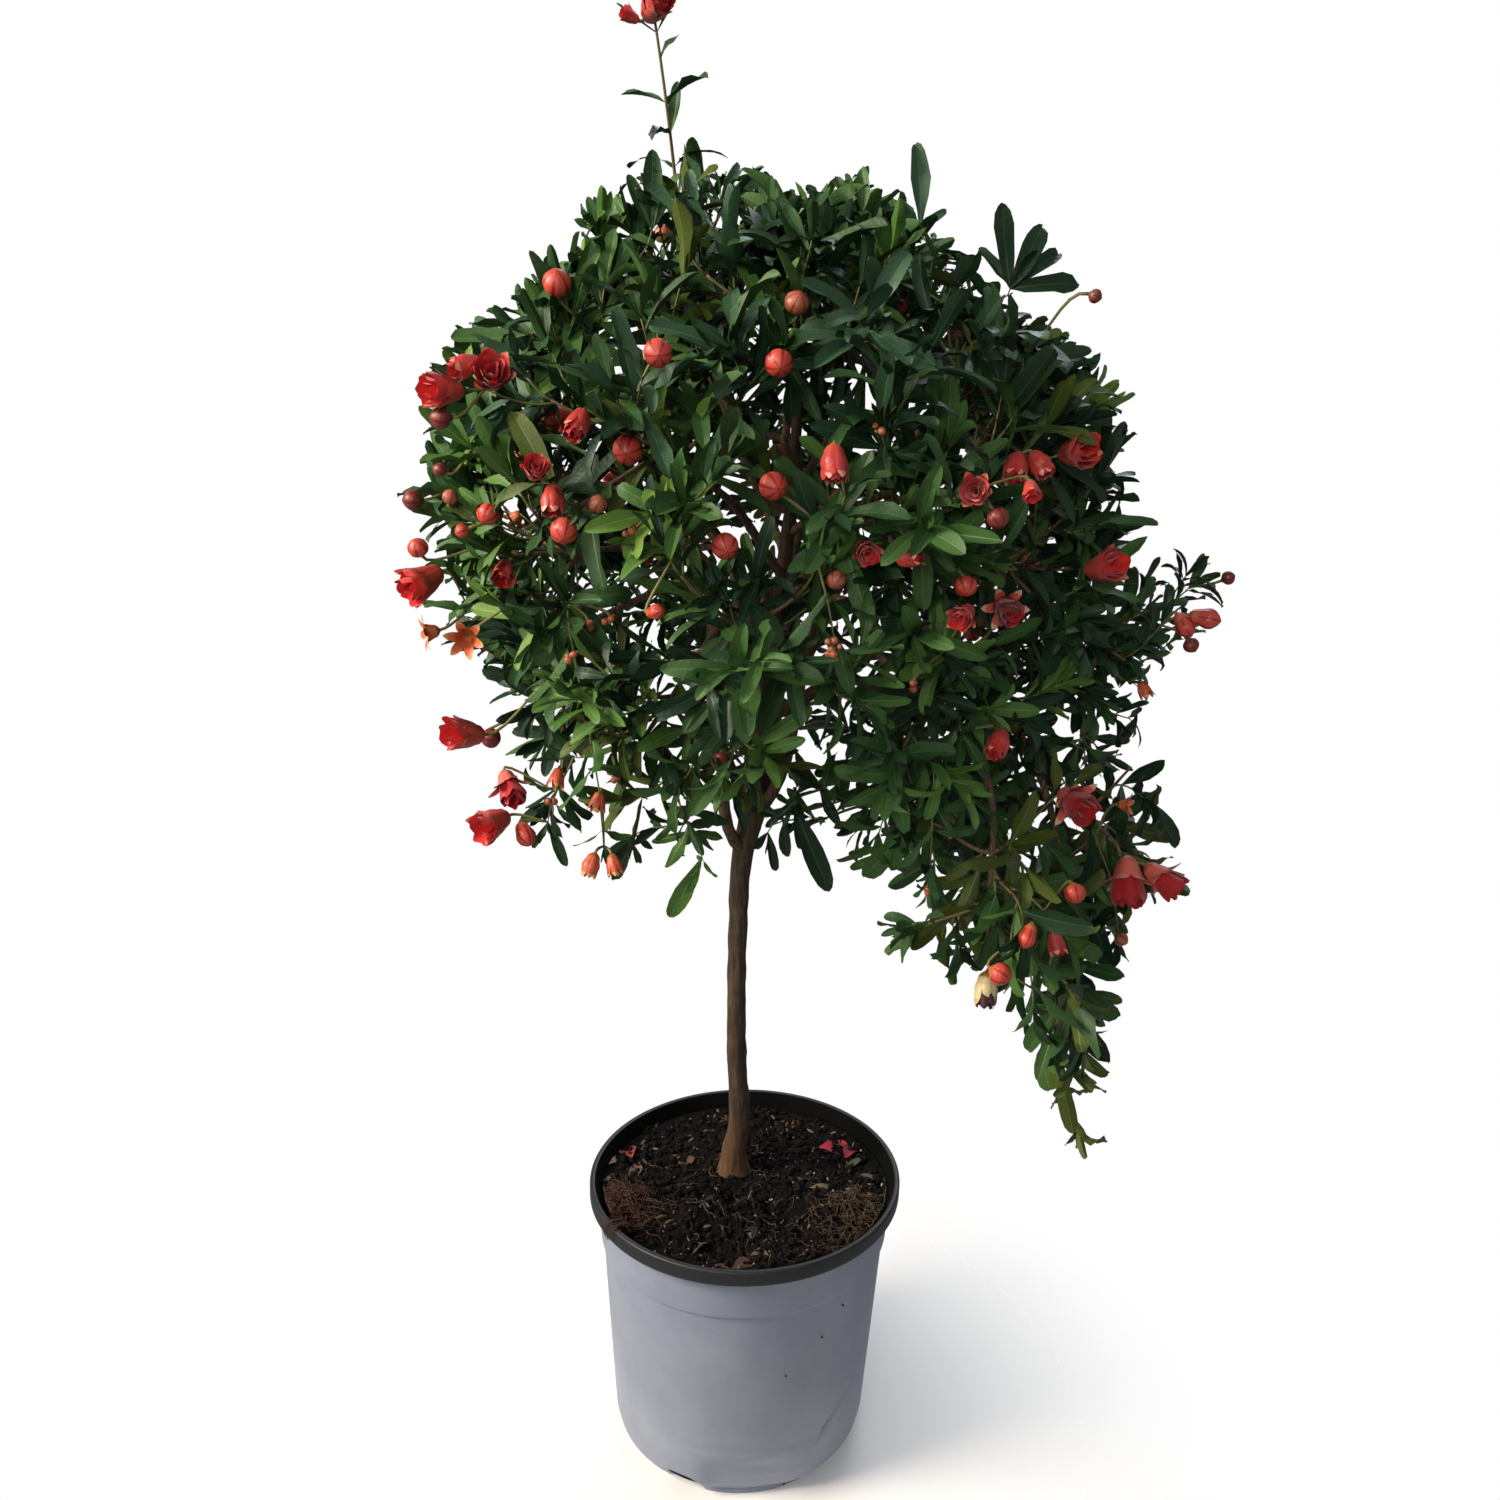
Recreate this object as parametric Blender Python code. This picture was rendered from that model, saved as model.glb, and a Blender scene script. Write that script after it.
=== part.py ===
"""Pomegranate tree grown as a small standard in a nursery pot.

One trunk rises from the potting mix, swells into a head and runs on as a leader. Boughs leave it one
above the other and end in masses of foliage. The crown is a ball of masses with a curtain of weeping
ones on its right side. Each mass keeps to its own space: the part of the crown nearer to its seed
point than to any other mass's. Metres, +Z up, origin at the centre of the pot's underside.
"""

import math
import random

import bmesh
import bpy
import numpy as np
from mathutils import Vector
from mathutils.bvhtree import BVHTree

GAP = 0.0003  # between pieces that touch
GOLDEN_ANGLE = math.pi * (3 - math.sqrt(5))
SHARP_ANGLE = math.radians(50)  # a round piece is shaded smooth below it

# Pot
POT_HEIGHT = 0.223
RIM_RADIUS = 0.120
RIM_DEPTH = 0.012  # height of the turned-over rim
RIM_ROUNDING = 0.0018
COLLAR_RADIUS = 0.1135  # body just under the rim
COLLAR_DEPTH = 0.033  # from the rim down to the stacking step
STEP_INSET = 0.0012  # how far the body steps in there
BASE_RADIUS = 0.1000  # body where the bottom corner starts
CORNER_HEIGHT = 0.024
CORNER_ROUNDING = ((0.0065, 0.0010), (0.0020, 0.0075))  # (in from the body, up from the foot)
FOOT_RADIUS = 0.087
FOOT_HEIGHT = 0.0075
WALL = 0.002
RIM_WIDTH = 0.0042
FLOOR = 0.0055
DRAIN_NOTCHES = 4
FIRST_NOTCH = math.radians(-112)
DRAIN_RADIUS = 0.0042
DRAIN_LENGTH = 0.016
DRAIN_SIDES = 8
ROUND_SIDES = 32

# Potting mix
SOIL_LEVEL = 0.211
SOIL_BUMPS = ((0.0035, 3, 40), (0.0021, 7, -25))  # (height, waves round, turn per metre outwards)
SOIL_RINGS = (0.084, 0.056, 0.034)  # radii of its rings: the first two are uneven

# Trunk and leader, as (x, y, height) and radius along it
TRUNK_FOOT = (-0.010, 0.018)
TRUNK_LINE = (
    ((-0.0045, 0.016, 0.258), 0.0082),
    ((-0.0065, 0.013, 0.330), 0.0072),
    ((-0.0050, 0.011, 0.420), 0.0070),
    ((-0.0020, 0.010, 0.478), 0.0074),
    ((0.0075, 0.009, 0.520), 0.0094),
    ((0.0130, 0.009, 0.565), 0.0080),
    ((0.0240, 0.010, 0.660), 0.0058),
    ((0.0340, 0.010, 0.760), 0.0042),
    ((0.0350, 0.010, 0.826), 0.0026),
)
FLARE_RADII = (0.0150, 0.0112, 0.0092)  # root flare, upwards from the cut
FLARE_RISE = Vector((0.0006, -0.0002, 0.010))  # from each of them to the next
TRUNK_SIDES = 9

# Crown
CROWN_CENTRE = Vector((0.022, 0.008, 0.712))
CROWN_RADIUS = 0.250  # to the leaf tips
CROWN_MASSES = 21
LOWEST_MASS = -0.70  # height of the lowest mass over the crown radius, counted from the centre
SEED_SHARE = 0.66  # where a mass's seed point lies, as a share of the crown radius
LIMB_SHARE = 0.34  # where a bough ends
STEM_SHARE = 0.38  # length of a mass's stem
TWIG_REACH = 0.77  # share of the crown radius, leaving room for the leaves at the tips
TUFT_SHARES = (0.045, 0.030)  # broad tufts and dips in that reach, and finer ones
RING_TWIGS = 5  # round the middle one of each mass
RING_SPREAD = 0.30  # how far they stand from it
RING_TURN = 9  # of each ring, next to its mass's height

# Boughs
FIRST_BOUGH, LAST_BOUGH = 0.484, 0.770  # heights between which the boughs leave the trunk
LOW_BOUGH_RADIUS, TOP_BOUGH_RADIUS = 0.0046, 0.0026
BOUGH_TIP_RADIUS = 0.0026
BOUGH_RISE = 0.55  # how steeply it leaves the trunk
BOUGH_BEND = 0.42  # how far along it keeps to the ways in which it leaves and ends
BOUGH_SIDES = 5
BOUGH_STEPS = 6

# Weeping side: one arching bough, and others that hang from it
ARCH_PLACE = 7  # how many boughs leave the trunk below the arching one
ARCH_END = Vector((0.168, -0.010, 0.655))
ARCH_LEAVES = Vector((0.86, -0.10, 0.42)).normalized()
ARCH_ENDS = Vector((0.97, -0.12, -0.10)).normalized()
ARCH_RADII = (0.0052, 0.0038)
HANGING_RADII = (0.0032, 0.0020)
HANGING_DROP = 0.4  # how steeply they leave the arch, next to the way to their tips
TIP_ABOVE_SEED = 0.55  # share of a mass's reach
WEEPING = {  # seed point, where on the arch its bough starts (the shoulder is at its tip), reach
    "shoulder": (Vector((0.252, -0.020, 0.618)), 1.0, Vector((0.058, 0.070, 0.060))),
    "inner": (Vector((0.112, 0.006, 0.532)), 0.34, Vector((0.052, 0.056, 0.060))),
    "front": (Vector((0.158, -0.105, 0.492)), 0.50, Vector((0.062, 0.060, 0.075))),
    "outer": (Vector((0.256, 0.030, 0.480)), 0.90, Vector((0.055, 0.062, 0.072))),
    "back": (Vector((0.170, 0.110, 0.500)), 0.64, Vector((0.065, 0.060, 0.080))),
    "trailing": (Vector((0.226, -0.030, 0.380)), 0.79, Vector((0.034, 0.038, 0.062))),
}
WEEPING_TWIGS = 7  # each
WEEPING_LEAF = 0.85  # size next to the crown's leaves

# Shoots that stand out of the round crown, by where they end
LONG_SHOOTS = {
    "topmost": Vector((-0.055, 0.004, 1.030)),
    "top_left": Vector((-0.050, -0.010, 0.895)),
    "top_middle": Vector((0.030, 0.020, 0.890)),
    "top_right": Vector((0.108, 0.000, 0.895)),
    "shoulder_right": Vector((0.170, -0.010, 0.855)),
    "shoulder_bud": Vector((0.218, 0.000, 0.860)),
    "far_right": Vector((0.300, -0.010, 0.672)),
    "far_left": Vector((-0.182, -0.010, 0.735)),
    "left_low": Vector((-0.160, -0.010, 0.640)),
    "bottom_left": Vector((-0.130, -0.010, 0.545)),
    "right_bloom": Vector((0.300, 0.000, 0.480)),
    "trailing_tip": Vector((0.246, -0.036, 0.285)),
    "back_high": Vector((-0.030, 0.190, 0.820)),
    "back_low": Vector((-0.050, 0.190, 0.590)),
}
FLOWERING_SHOOTS = ("topmost", "shoulder_bud", "right_bloom")
SHOOT_LEAF = 0.80

# Twigs, leaves and blossom
STEM_RADII = (0.0024, 0.0020, 0.0016)
TWIG_RADII = (0.0015, 0.0010)
TWIG_SIDES = 3
TWIG_START = 0.62  # how far along the stem a twig starts, next to how far along its tip lies
TWIG_FIRST, TWIG_LAST = 0.12, 0.94  # shares of the stem between which twigs start
PAIR_FIRST = 0.010  # the last pair of leaves, back from the twig's tip
PAIR_SPACING = 0.036
PAIR_STAGGER = 0.0025  # between the two leaves of a pair
PAIR_LAST = 0.30  # share of the twig with no leaves at its start
PAIR_TURN = (1.27, 1.87)  # from each pair to the next: a right angle, more or less
LEAF_LENGTH = 0.078
LEAF_WIDTH = 0.029
LEAF_THICKNESS = 0.0020
LEAF_ARCH = 0.0030
LEAF_ANGLE = math.radians(52)  # from its twig
LEAF_WIDEST = 0.46  # share of its length
ANGLE_VARIES, LENGTH_VARIES = (0.8, 1.2), (0.85, 1.1)
TIP_LEAN = 0.25  # of the leaf at a twig's end, to either side
LEAF_TRIES = ((1.0, 0.0), (0.95, 0.45), (0.75, 0.0), (0.7, 0.5))  # (size, share turned outwards)
ROOT_DEPTH = 0.0007  # how far a leaf's root reaches past the middle of its twig
BLOSSOM_EVERY = 3  # one twig tip in so many
BLOSSOM_LENGTH = 0.030
BLOSSOM_SHAPE = ((0.52, 0.0100), (1.0, 0.0062))  # (share of the length, radius)
BLOSSOM_SIDES = 5
BLOSSOM_ROOT = 0.004  # how far back in its twig it starts
BLOSSOM_SAG = 0.5
SPACE_MARGIN = 0.0006  # from each side of the border between two masses
LIMB_MARGIN = 0.0012
FIRST_SEED = 11  # of the masses' random numbers, one seed for each mass


def material(name, colour, roughness):
    made = bpy.data.materials.new(name)
    made.use_nodes = True
    shader = made.node_tree.nodes["Principled BSDF"]
    shader.inputs["Base Color"].default_value = (*colour, 1.0)
    shader.inputs["Roughness"].default_value = roughness
    shader.inputs["Metallic"].default_value = 0.0
    return made


def add_object(name, mesh, finish):
    mesh.materials.append(finish)
    made = bpy.data.objects.new(name, mesh)
    bpy.context.scene.collection.objects.link(made)
    return made


def mesh_of(name, bm):
    bmesh.ops.recalc_face_normals(bm, faces=bm.faces)
    mesh = bpy.data.meshes.new(name)
    bm.to_mesh(mesh)
    bm.free()
    return mesh


def shaded_round(mesh):
    """The mesh shaded smooth, but for the edges where its outline turns sharply."""
    mesh.shade_smooth()
    mesh.set_sharp_from_angle(angle=SHARP_ANGLE)
    return mesh


def mesh_from(name, points, faces):
    bm = bmesh.new()
    verts = [bm.verts.new(point) for point in points]
    for face in faces:
        bm.faces.new([verts[k] for k in face])
    return mesh_of(name, bm)


def skinned(name, rings):
    """A closed mesh through rings of points, each with as many points as the next, with flat ends."""
    bm = bmesh.new()
    made = [[bm.verts.new(point) for point in ring] for ring in rings]
    sides = len(made[0])
    for low, high in zip(made, made[1:]):
        for k in range(sides):
            nxt = (k + 1) % sides
            bm.faces.new((low[k], low[nxt], high[nxt], high[k]))
    bm.faces.new(reversed(made[0]))
    bm.faces.new(made[-1])
    return mesh_of(name, bm)


def turned(name, profile, bump=None):
    """A closed mesh turned about Z from (radius, height) points whose first and last are on the axis."""
    bm = bmesh.new()
    rings = []
    for radius, height in profile:
        if radius == 0:
            rings.append([bm.verts.new((0, 0, height))])
            continue
        ring = []
        for k in range(ROUND_SIDES):
            angle = 2 * math.pi * k / ROUND_SIDES
            rise = bump(radius, angle) if bump else 0
            ring.append(bm.verts.new((radius * math.cos(angle), radius * math.sin(angle), height + rise)))
        rings.append(ring)
    for low, high in zip(rings, rings[1:]):
        for k in range(ROUND_SIDES):
            nxt = (k + 1) % ROUND_SIDES
            if len(low) == 1:
                bm.faces.new((low[0], high[nxt], high[k]))
            elif len(high) == 1:
                bm.faces.new((low[k], low[nxt], high[0]))
            else:
                bm.faces.new((low[k], low[nxt], high[nxt], high[k]))
    return shaded_round(mesh_of(name, bm))


def tube_rings(line, radii, sides, ends=(None, None)):
    """Rings square to a line of points, turned as little as possible from one to the next.

    ends: the ways that the first and last ring face, where they aren't the line's own.
    """
    side = None
    rings = []
    for k, point in enumerate(line):
        ahead = (line[min(k + 1, len(line) - 1)] - line[max(k - 1, 0)]).normalized()
        if k == 0 and ends[0]:
            ahead = ends[0]
        if k == len(line) - 1 and ends[1]:
            ahead = ends[1]
        if side is None:
            side = ahead.orthogonal()
        side = (side - ahead * side.dot(ahead)).normalized()
        across = ahead.cross(side)
        angles = [2 * math.pi * n / sides for n in range(sides)]
        rings.append([point + radii[k] * (math.cos(a) * side + math.sin(a) * across) for a in angles])
    return rings


def tube_tree(rings):
    """A closed tube's faces, for finding what crosses it."""
    sides = len(rings[0])
    faces = [tuple(range(sides)), tuple(range((len(rings) - 1) * sides, len(rings) * sides))]
    for k in range(len(rings) - 1):
        for n in range(sides):
            nxt = (n + 1) % sides
            faces.append((k * sides + n, k * sides + nxt, (k + 1) * sides + nxt, (k + 1) * sides + n))
    return BVHTree.FromPolygons([point for ring in rings for point in ring], faces)


def bezier(points, steps):
    """Points evenly spaced in parameter along the cubic curve with these four control points."""
    a, b, c, d = points
    line = []
    for k in range(steps + 1):
        t = k / steps
        s = 1 - t
        line.append(a * s**3 + b * (3 * s * s * t) + c * (3 * s * t * t) + d * t**3)
    return line


def smooth_line(points, parts):
    """A Catmull-Rom line through points, with this many steps from each to the next."""
    line = []
    for k in range(len(points) - 1):
        p0, p1 = points[max(k - 1, 0)], points[k]
        p2, p3 = points[k + 1], points[min(k + 2, len(points) - 1)]
        for n in range(parts):
            t = n / parts
            line.append(
                0.5 * (2 * p1 + (p2 - p0) * t + (2 * p0 - 5 * p1 + 4 * p2 - p3) * t * t
                       + (3 * p1 - p0 - 3 * p2 + p3) * t**3)
            )
    line.append(points[-1])
    return line


def spread_directions(count, lowest):
    """Unit vectors spaced evenly over a ball by the golden angle, from its top down to a height."""
    made = []
    for k in range(count):
        height = 1 - (1 - lowest) * (k + 0.5) / count
        ring = math.sqrt(1 - height * height)
        made.append(Vector((ring * math.cos(k * GOLDEN_ANGLE), ring * math.sin(k * GOLDEN_ANGLE), height)))
    return made


def evaluated_copy(obj):
    """The object's mesh with its modifiers applied."""
    graph = bpy.context.evaluated_depsgraph_get()
    return bpy.data.meshes.new_from_object(obj.evaluated_get(graph))


def apply_boolean(obj, operation, solver, other=None, group=None):
    cut = obj.modifiers.new("join", "BOOLEAN")
    cut.operation = operation
    cut.solver = solver
    if group:
        cut.operand_type = "COLLECTION"
        cut.collection = group
    else:
        cut.object = other
    mesh = evaluated_copy(obj)
    obj.modifiers.clear()
    old = obj.data
    obj.data = mesh
    bpy.data.meshes.remove(old)


def keep_largest_body(obj):
    """Drops the loose scraps and sealed hollows that a union can leave."""
    bm = bmesh.new()
    bm.from_mesh(obj.data)
    left = set(bm.verts)
    bodies = []
    while left:
        body, front = set(), [left.pop()]
        while front:
            vertex = front.pop()
            body.add(vertex)
            for edge in vertex.link_edges:
                other = edge.other_vert(vertex)
                if other in left:
                    left.discard(other)
                    front.append(other)
        bodies.append(body)
    bodies.sort(key=len)
    bmesh.ops.delete(bm, geom=[v for body in bodies[:-1] for v in body], context="VERTS")
    bm.to_mesh(obj.data)
    bm.free()


# Pot and potting mix


def pot_bottom():
    """(radius, height) up the outside of the pot's bottom corner, from its foot."""
    corner = [(BASE_RADIUS - inwards, FOOT_HEIGHT + up) for inwards, up in CORNER_ROUNDING]
    return [(FOOT_RADIUS, FOOT_HEIGHT), *corner, (BASE_RADIUS, CORNER_HEIGHT)]


def pot_inside():
    """(radius, height) down the inside of the pot, from its rim to the edge of its floor."""
    top = [(RIM_RADIUS - RIM_WIDTH, POT_HEIGHT), (COLLAR_RADIUS - WALL, POT_HEIGHT - RIM_DEPTH)]
    bottom = [(radius - WALL, height + WALL / 2) for radius, height in reversed(pot_bottom())]
    return top + bottom + [(FOOT_RADIUS - WALL, FLOOR)]


def build_pot(plastic):
    under_rim = POT_HEIGHT - RIM_DEPTH
    step = under_rim - COLLAR_DEPTH
    slope = (COLLAR_RADIUS - BASE_RADIUS) / (under_rim - CORNER_HEIGHT)
    at_step = COLLAR_RADIUS - slope * COLLAR_DEPTH
    top = [
        (at_step - STEP_INSET, step - STEP_INSET),
        (at_step, step),
        (COLLAR_RADIUS, under_rim),
        (RIM_RADIUS, under_rim),
        (RIM_RADIUS, POT_HEIGHT - RIM_ROUNDING),
        (RIM_RADIUS - RIM_ROUNDING, POT_HEIGHT),
    ]
    outline = [(0, 0), (FOOT_RADIUS, 0), *pot_bottom(), *top, *pot_inside(), (0, FLOOR)]
    pot = add_object("pot", turned("pot", outline), plastic)
    for k in range(DRAIN_NOTCHES):
        angle = FIRST_NOTCH + 2 * math.pi * k / DRAIN_NOTCHES
        outwards = Vector((math.cos(angle), math.sin(angle), 0))
        line = [outwards * (FOOT_RADIUS - DRAIN_LENGTH), outwards * (FOOT_RADIUS + DRAIN_LENGTH)]
        rings = tube_rings(line, [DRAIN_RADIUS] * 2, DRAIN_SIDES)
        cutter = add_object("drain_cutter", skinned("drain_cutter", rings), plastic)
        apply_boolean(pot, "DIFFERENCE", "EXACT", other=cutter)
        bpy.data.objects.remove(cutter)


def soil_bump(radius, angle):
    """Gentle heaps on the potting mix; none at the wall or round the trunk."""
    if radius not in SOIL_RINGS[:-1]:
        return 0
    return sum(height * math.sin(waves * angle + turn * radius) for height, waves, turn in SOIL_BUMPS)


def build_soil(mix):
    _, top, below, *bottom = pot_inside()
    share = (SOIL_LEVEL - below[1]) / (top[1] - below[1])
    edge = (below[0] + share * (top[0] - below[0]) - GAP, SOIL_LEVEL)
    wall = [(radius - GAP, height + GAP) for radius, height in reversed([below, *bottom])]
    rings = [(radius, SOIL_LEVEL) for radius in SOIL_RINGS]
    profile = [(0, FLOOR + GAP)] + wall + [edge] + rings + [(0, SOIL_LEVEL)]
    add_object("potting_mix", turned("potting_mix", profile, soil_bump), mix)


# Limbs


class Limb:
    """A tapering limb's line and radii, for building it and for keeping other things clear of it."""

    def __init__(self, name, line, radii, sides, ends=(None, None)):
        self.name, self.line, self.radii, self.sides, self.ends = name, line, radii, sides, ends

    def rings(self, swell=0.0):
        return tube_rings(self.line, [r + swell for r in self.radii], self.sides, self.ends)

    def tree(self, swell):
        """For finding what crosses the limb or comes this near to it."""
        rings = self.rings(swell)
        rings.append([point + (self.line[-1] - self.line[-2]).normalized() * swell for point in rings[-1]])
        return tube_tree(rings)

    def at(self, share):
        """The point at this share of the way along."""
        place = share * (len(self.line) - 1)
        k = min(int(place), len(self.line) - 2)
        return self.line[k].lerp(self.line[k + 1], place - k)

    def at_height(self, height):
        for low, high in zip(self.line, self.line[1:]):
            if low.z <= height <= high.z:
                return low.lerp(high, (height - low.z) / (high.z - low.z))
        return self.line[-1]


def trunk_limb():
    """From its flat cut at the potting mix, through the root flare and the head, to the leader's tip."""
    foot = Vector((*TRUNK_FOOT, SOIL_LEVEL + GAP))
    points = [foot + FLARE_RISE * k for k in range(len(FLARE_RADII))]
    radii = list(FLARE_RADII)
    for place, radius in TRUNK_LINE:
        points.append(Vector(place))
        radii.append(radius)
    line = points[:2] + smooth_line(points[2:], 2)
    fine = radii[:2]
    for low, high in zip(radii[2:], radii[3:]):
        fine += [low, (low + high) / 2]
    fine.append(radii[-1])
    return Limb("trunk", line, fine, TRUNK_SIDES, ends=(Vector((0, 0, 1)), None))


def bough_limb(name, start, tip, leave, arrive, radii):
    """A bough that leaves a limb's middle one way and arrives at its tip another."""
    bend = (tip - start).length * BOUGH_BEND
    line = bezier((start, start + leave * bend, tip - arrive * bend, tip), BOUGH_STEPS)
    taper = [radii[0] + (radii[1] - radii[0]) * k / BOUGH_STEPS for k in range(BOUGH_STEPS + 1)]
    return Limb(name, line, taper, BOUGH_SIDES, ends=(None, arrive))


def crown_ways():
    """From the crown's centre to each of its masses, the lowest first."""
    return spread_directions(CROWN_MASSES, LOWEST_MASS)[::-1]


def bough_start(trunk, place):
    """Where the bough in this place leaves the trunk, the boughs being evenly spaced upwards."""
    return trunk.at_height(FIRST_BOUGH + (LAST_BOUGH - FIRST_BOUGH) * place / (CROWN_MASSES - 1))


def crown_limbs(trunk):
    """What carries each mass of the round crown, from the lowest up, and the way its stem goes on.

    That is a bough for each, but the leader's tip for the last.
    """
    made = []
    *ways, _ = crown_ways()
    for k, way in enumerate(ways):
        start = bough_start(trunk, k if k < ARCH_PLACE else k + 1)
        tip = CROWN_CENTRE + way * (CROWN_RADIUS * LIMB_SHARE)
        leave = Vector((way.x, way.y, BOUGH_RISE)).normalized()
        radius = LOW_BOUGH_RADIUS + (TOP_BOUGH_RADIUS - LOW_BOUGH_RADIUS) * k / (CROWN_MASSES - 1)
        limb = bough_limb(f"bough_{k + 1:02d}", start, tip, leave, way, (radius, BOUGH_TIP_RADIUS))
        made.append((limb, way))
    made.append((trunk, (trunk.line[-1] - trunk.line[-2]).normalized()))
    return made


def weeping_limbs(trunk):
    """The arching bough and those that hang from it, each with the way its mass's stem goes on."""
    start = bough_start(trunk, ARCH_PLACE)
    arch = bough_limb("weeping_bough_arch", start, ARCH_END, ARCH_LEAVES, ARCH_ENDS, ARCH_RADII)
    made = {"shoulder": (arch, ARCH_ENDS)}
    down = Vector((0, 0, -1))
    for name, (seed, share, reach) in WEEPING.items():
        if name in made:
            continue
        begin = arch.at(share)
        tip = seed + Vector((0, 0, reach.z * TIP_ABOVE_SEED))
        leave = tip - begin
        leave.z *= HANGING_DROP
        leave.normalize()
        limb = bough_limb(f"weeping_bough_{name}", begin, tip, leave, down, HANGING_RADII)
        made[name] = (limb, down)
    return made


def build_limb(limb, bark, parent=None):
    """The limb, cut back where it starts so that it stays a gap clear of the limb that carries it."""
    made = add_object(limb.name, shaded_round(skinned(limb.name, limb.rings())), bark)
    if parent:
        cutter = add_object("cutter", skinned("cutter", parent.rings(swell=GAP)), bark)
        apply_boolean(made, "DIFFERENCE", "EXACT", other=cutter)
        bpy.data.objects.remove(cutter)
        keep_largest_body(made)


# Foliage


class Crown:
    """The spaces of the masses and the limbs that they must keep clear of."""

    def __init__(self, seeds, limbs):
        self.seeds = np.array([list(seed) for seed in seeds])
        self.limbs = [limb.tree(LIMB_MARGIN) for limb in limbs]

    def seed(self, mass):
        return Vector(self.seeds[mass])

    def nearest(self, point):
        return int(np.argmin(np.linalg.norm(self.seeds - np.array(point), axis=1)))

    def in_space(self, points, mass):
        """True if the points lie nearer to this mass's seed than to any other's, by a margin."""
        mine, others = self.seeds[mass], np.delete(self.seeds, mass, axis=0)
        apart = others - mine
        apart /= np.linalg.norm(apart, axis=1)[:, None]
        borders = (apart * (others + mine) / 2).sum(axis=1)
        return bool((np.array(points) @ apart.T < borders - SPACE_MARGIN).all())

    def clear_of_limbs(self, tree):
        return not any(tree.overlap(limb) for limb in self.limbs)


def leaf_points(root, along, face, length):
    """Root, tip, two edges and the keel of a leaf: a long lozenge, arched along and keeled below."""
    across = along.cross(face).normalized()
    face = across.cross(along).normalized()
    scale = length / LEAF_LENGTH
    middle = root + along * (length * LEAF_WIDEST)
    edge, arch = across * (LEAF_WIDTH / 2 * scale), face * (LEAF_ARCH * scale)
    keel = face * ((LEAF_ARCH - LEAF_THICKNESS) * scale)
    return [root, root + along * length, middle + edge + arch, middle - edge + arch, middle + keel]


def leaf_faces():
    """Three to the root and three to the tip, from the two edges and the keel."""
    return [face for end in (0, 1) for face in ((end, 2, 3), (end, 2, 4), (end, 3, 4))]


def blossom_rings(root, along):
    """The two rings of a bud: round it where it is widest, and round its mouth."""
    line = [root + along * (BLOSSOM_LENGTH * place) for place, _ in BLOSSOM_SHAPE]
    return tube_rings(line, [radius for _, radius in BLOSSOM_SHAPE], BLOSSOM_SIDES)


def blossom_faces():
    """Of a bud that swells from a point, through the two rings, and narrows to a flat mouth."""
    faces = [tuple(range(BLOSSOM_SIDES + 1, 2 * BLOSSOM_SIDES + 1))]
    for k in range(1, BLOSSOM_SIDES + 1):
        nxt = k % BLOSSOM_SIDES + 1
        faces += [(0, k, nxt), (k, nxt, nxt + BLOSSOM_SIDES, k + BLOSSOM_SIDES)]
    return faces


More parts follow.
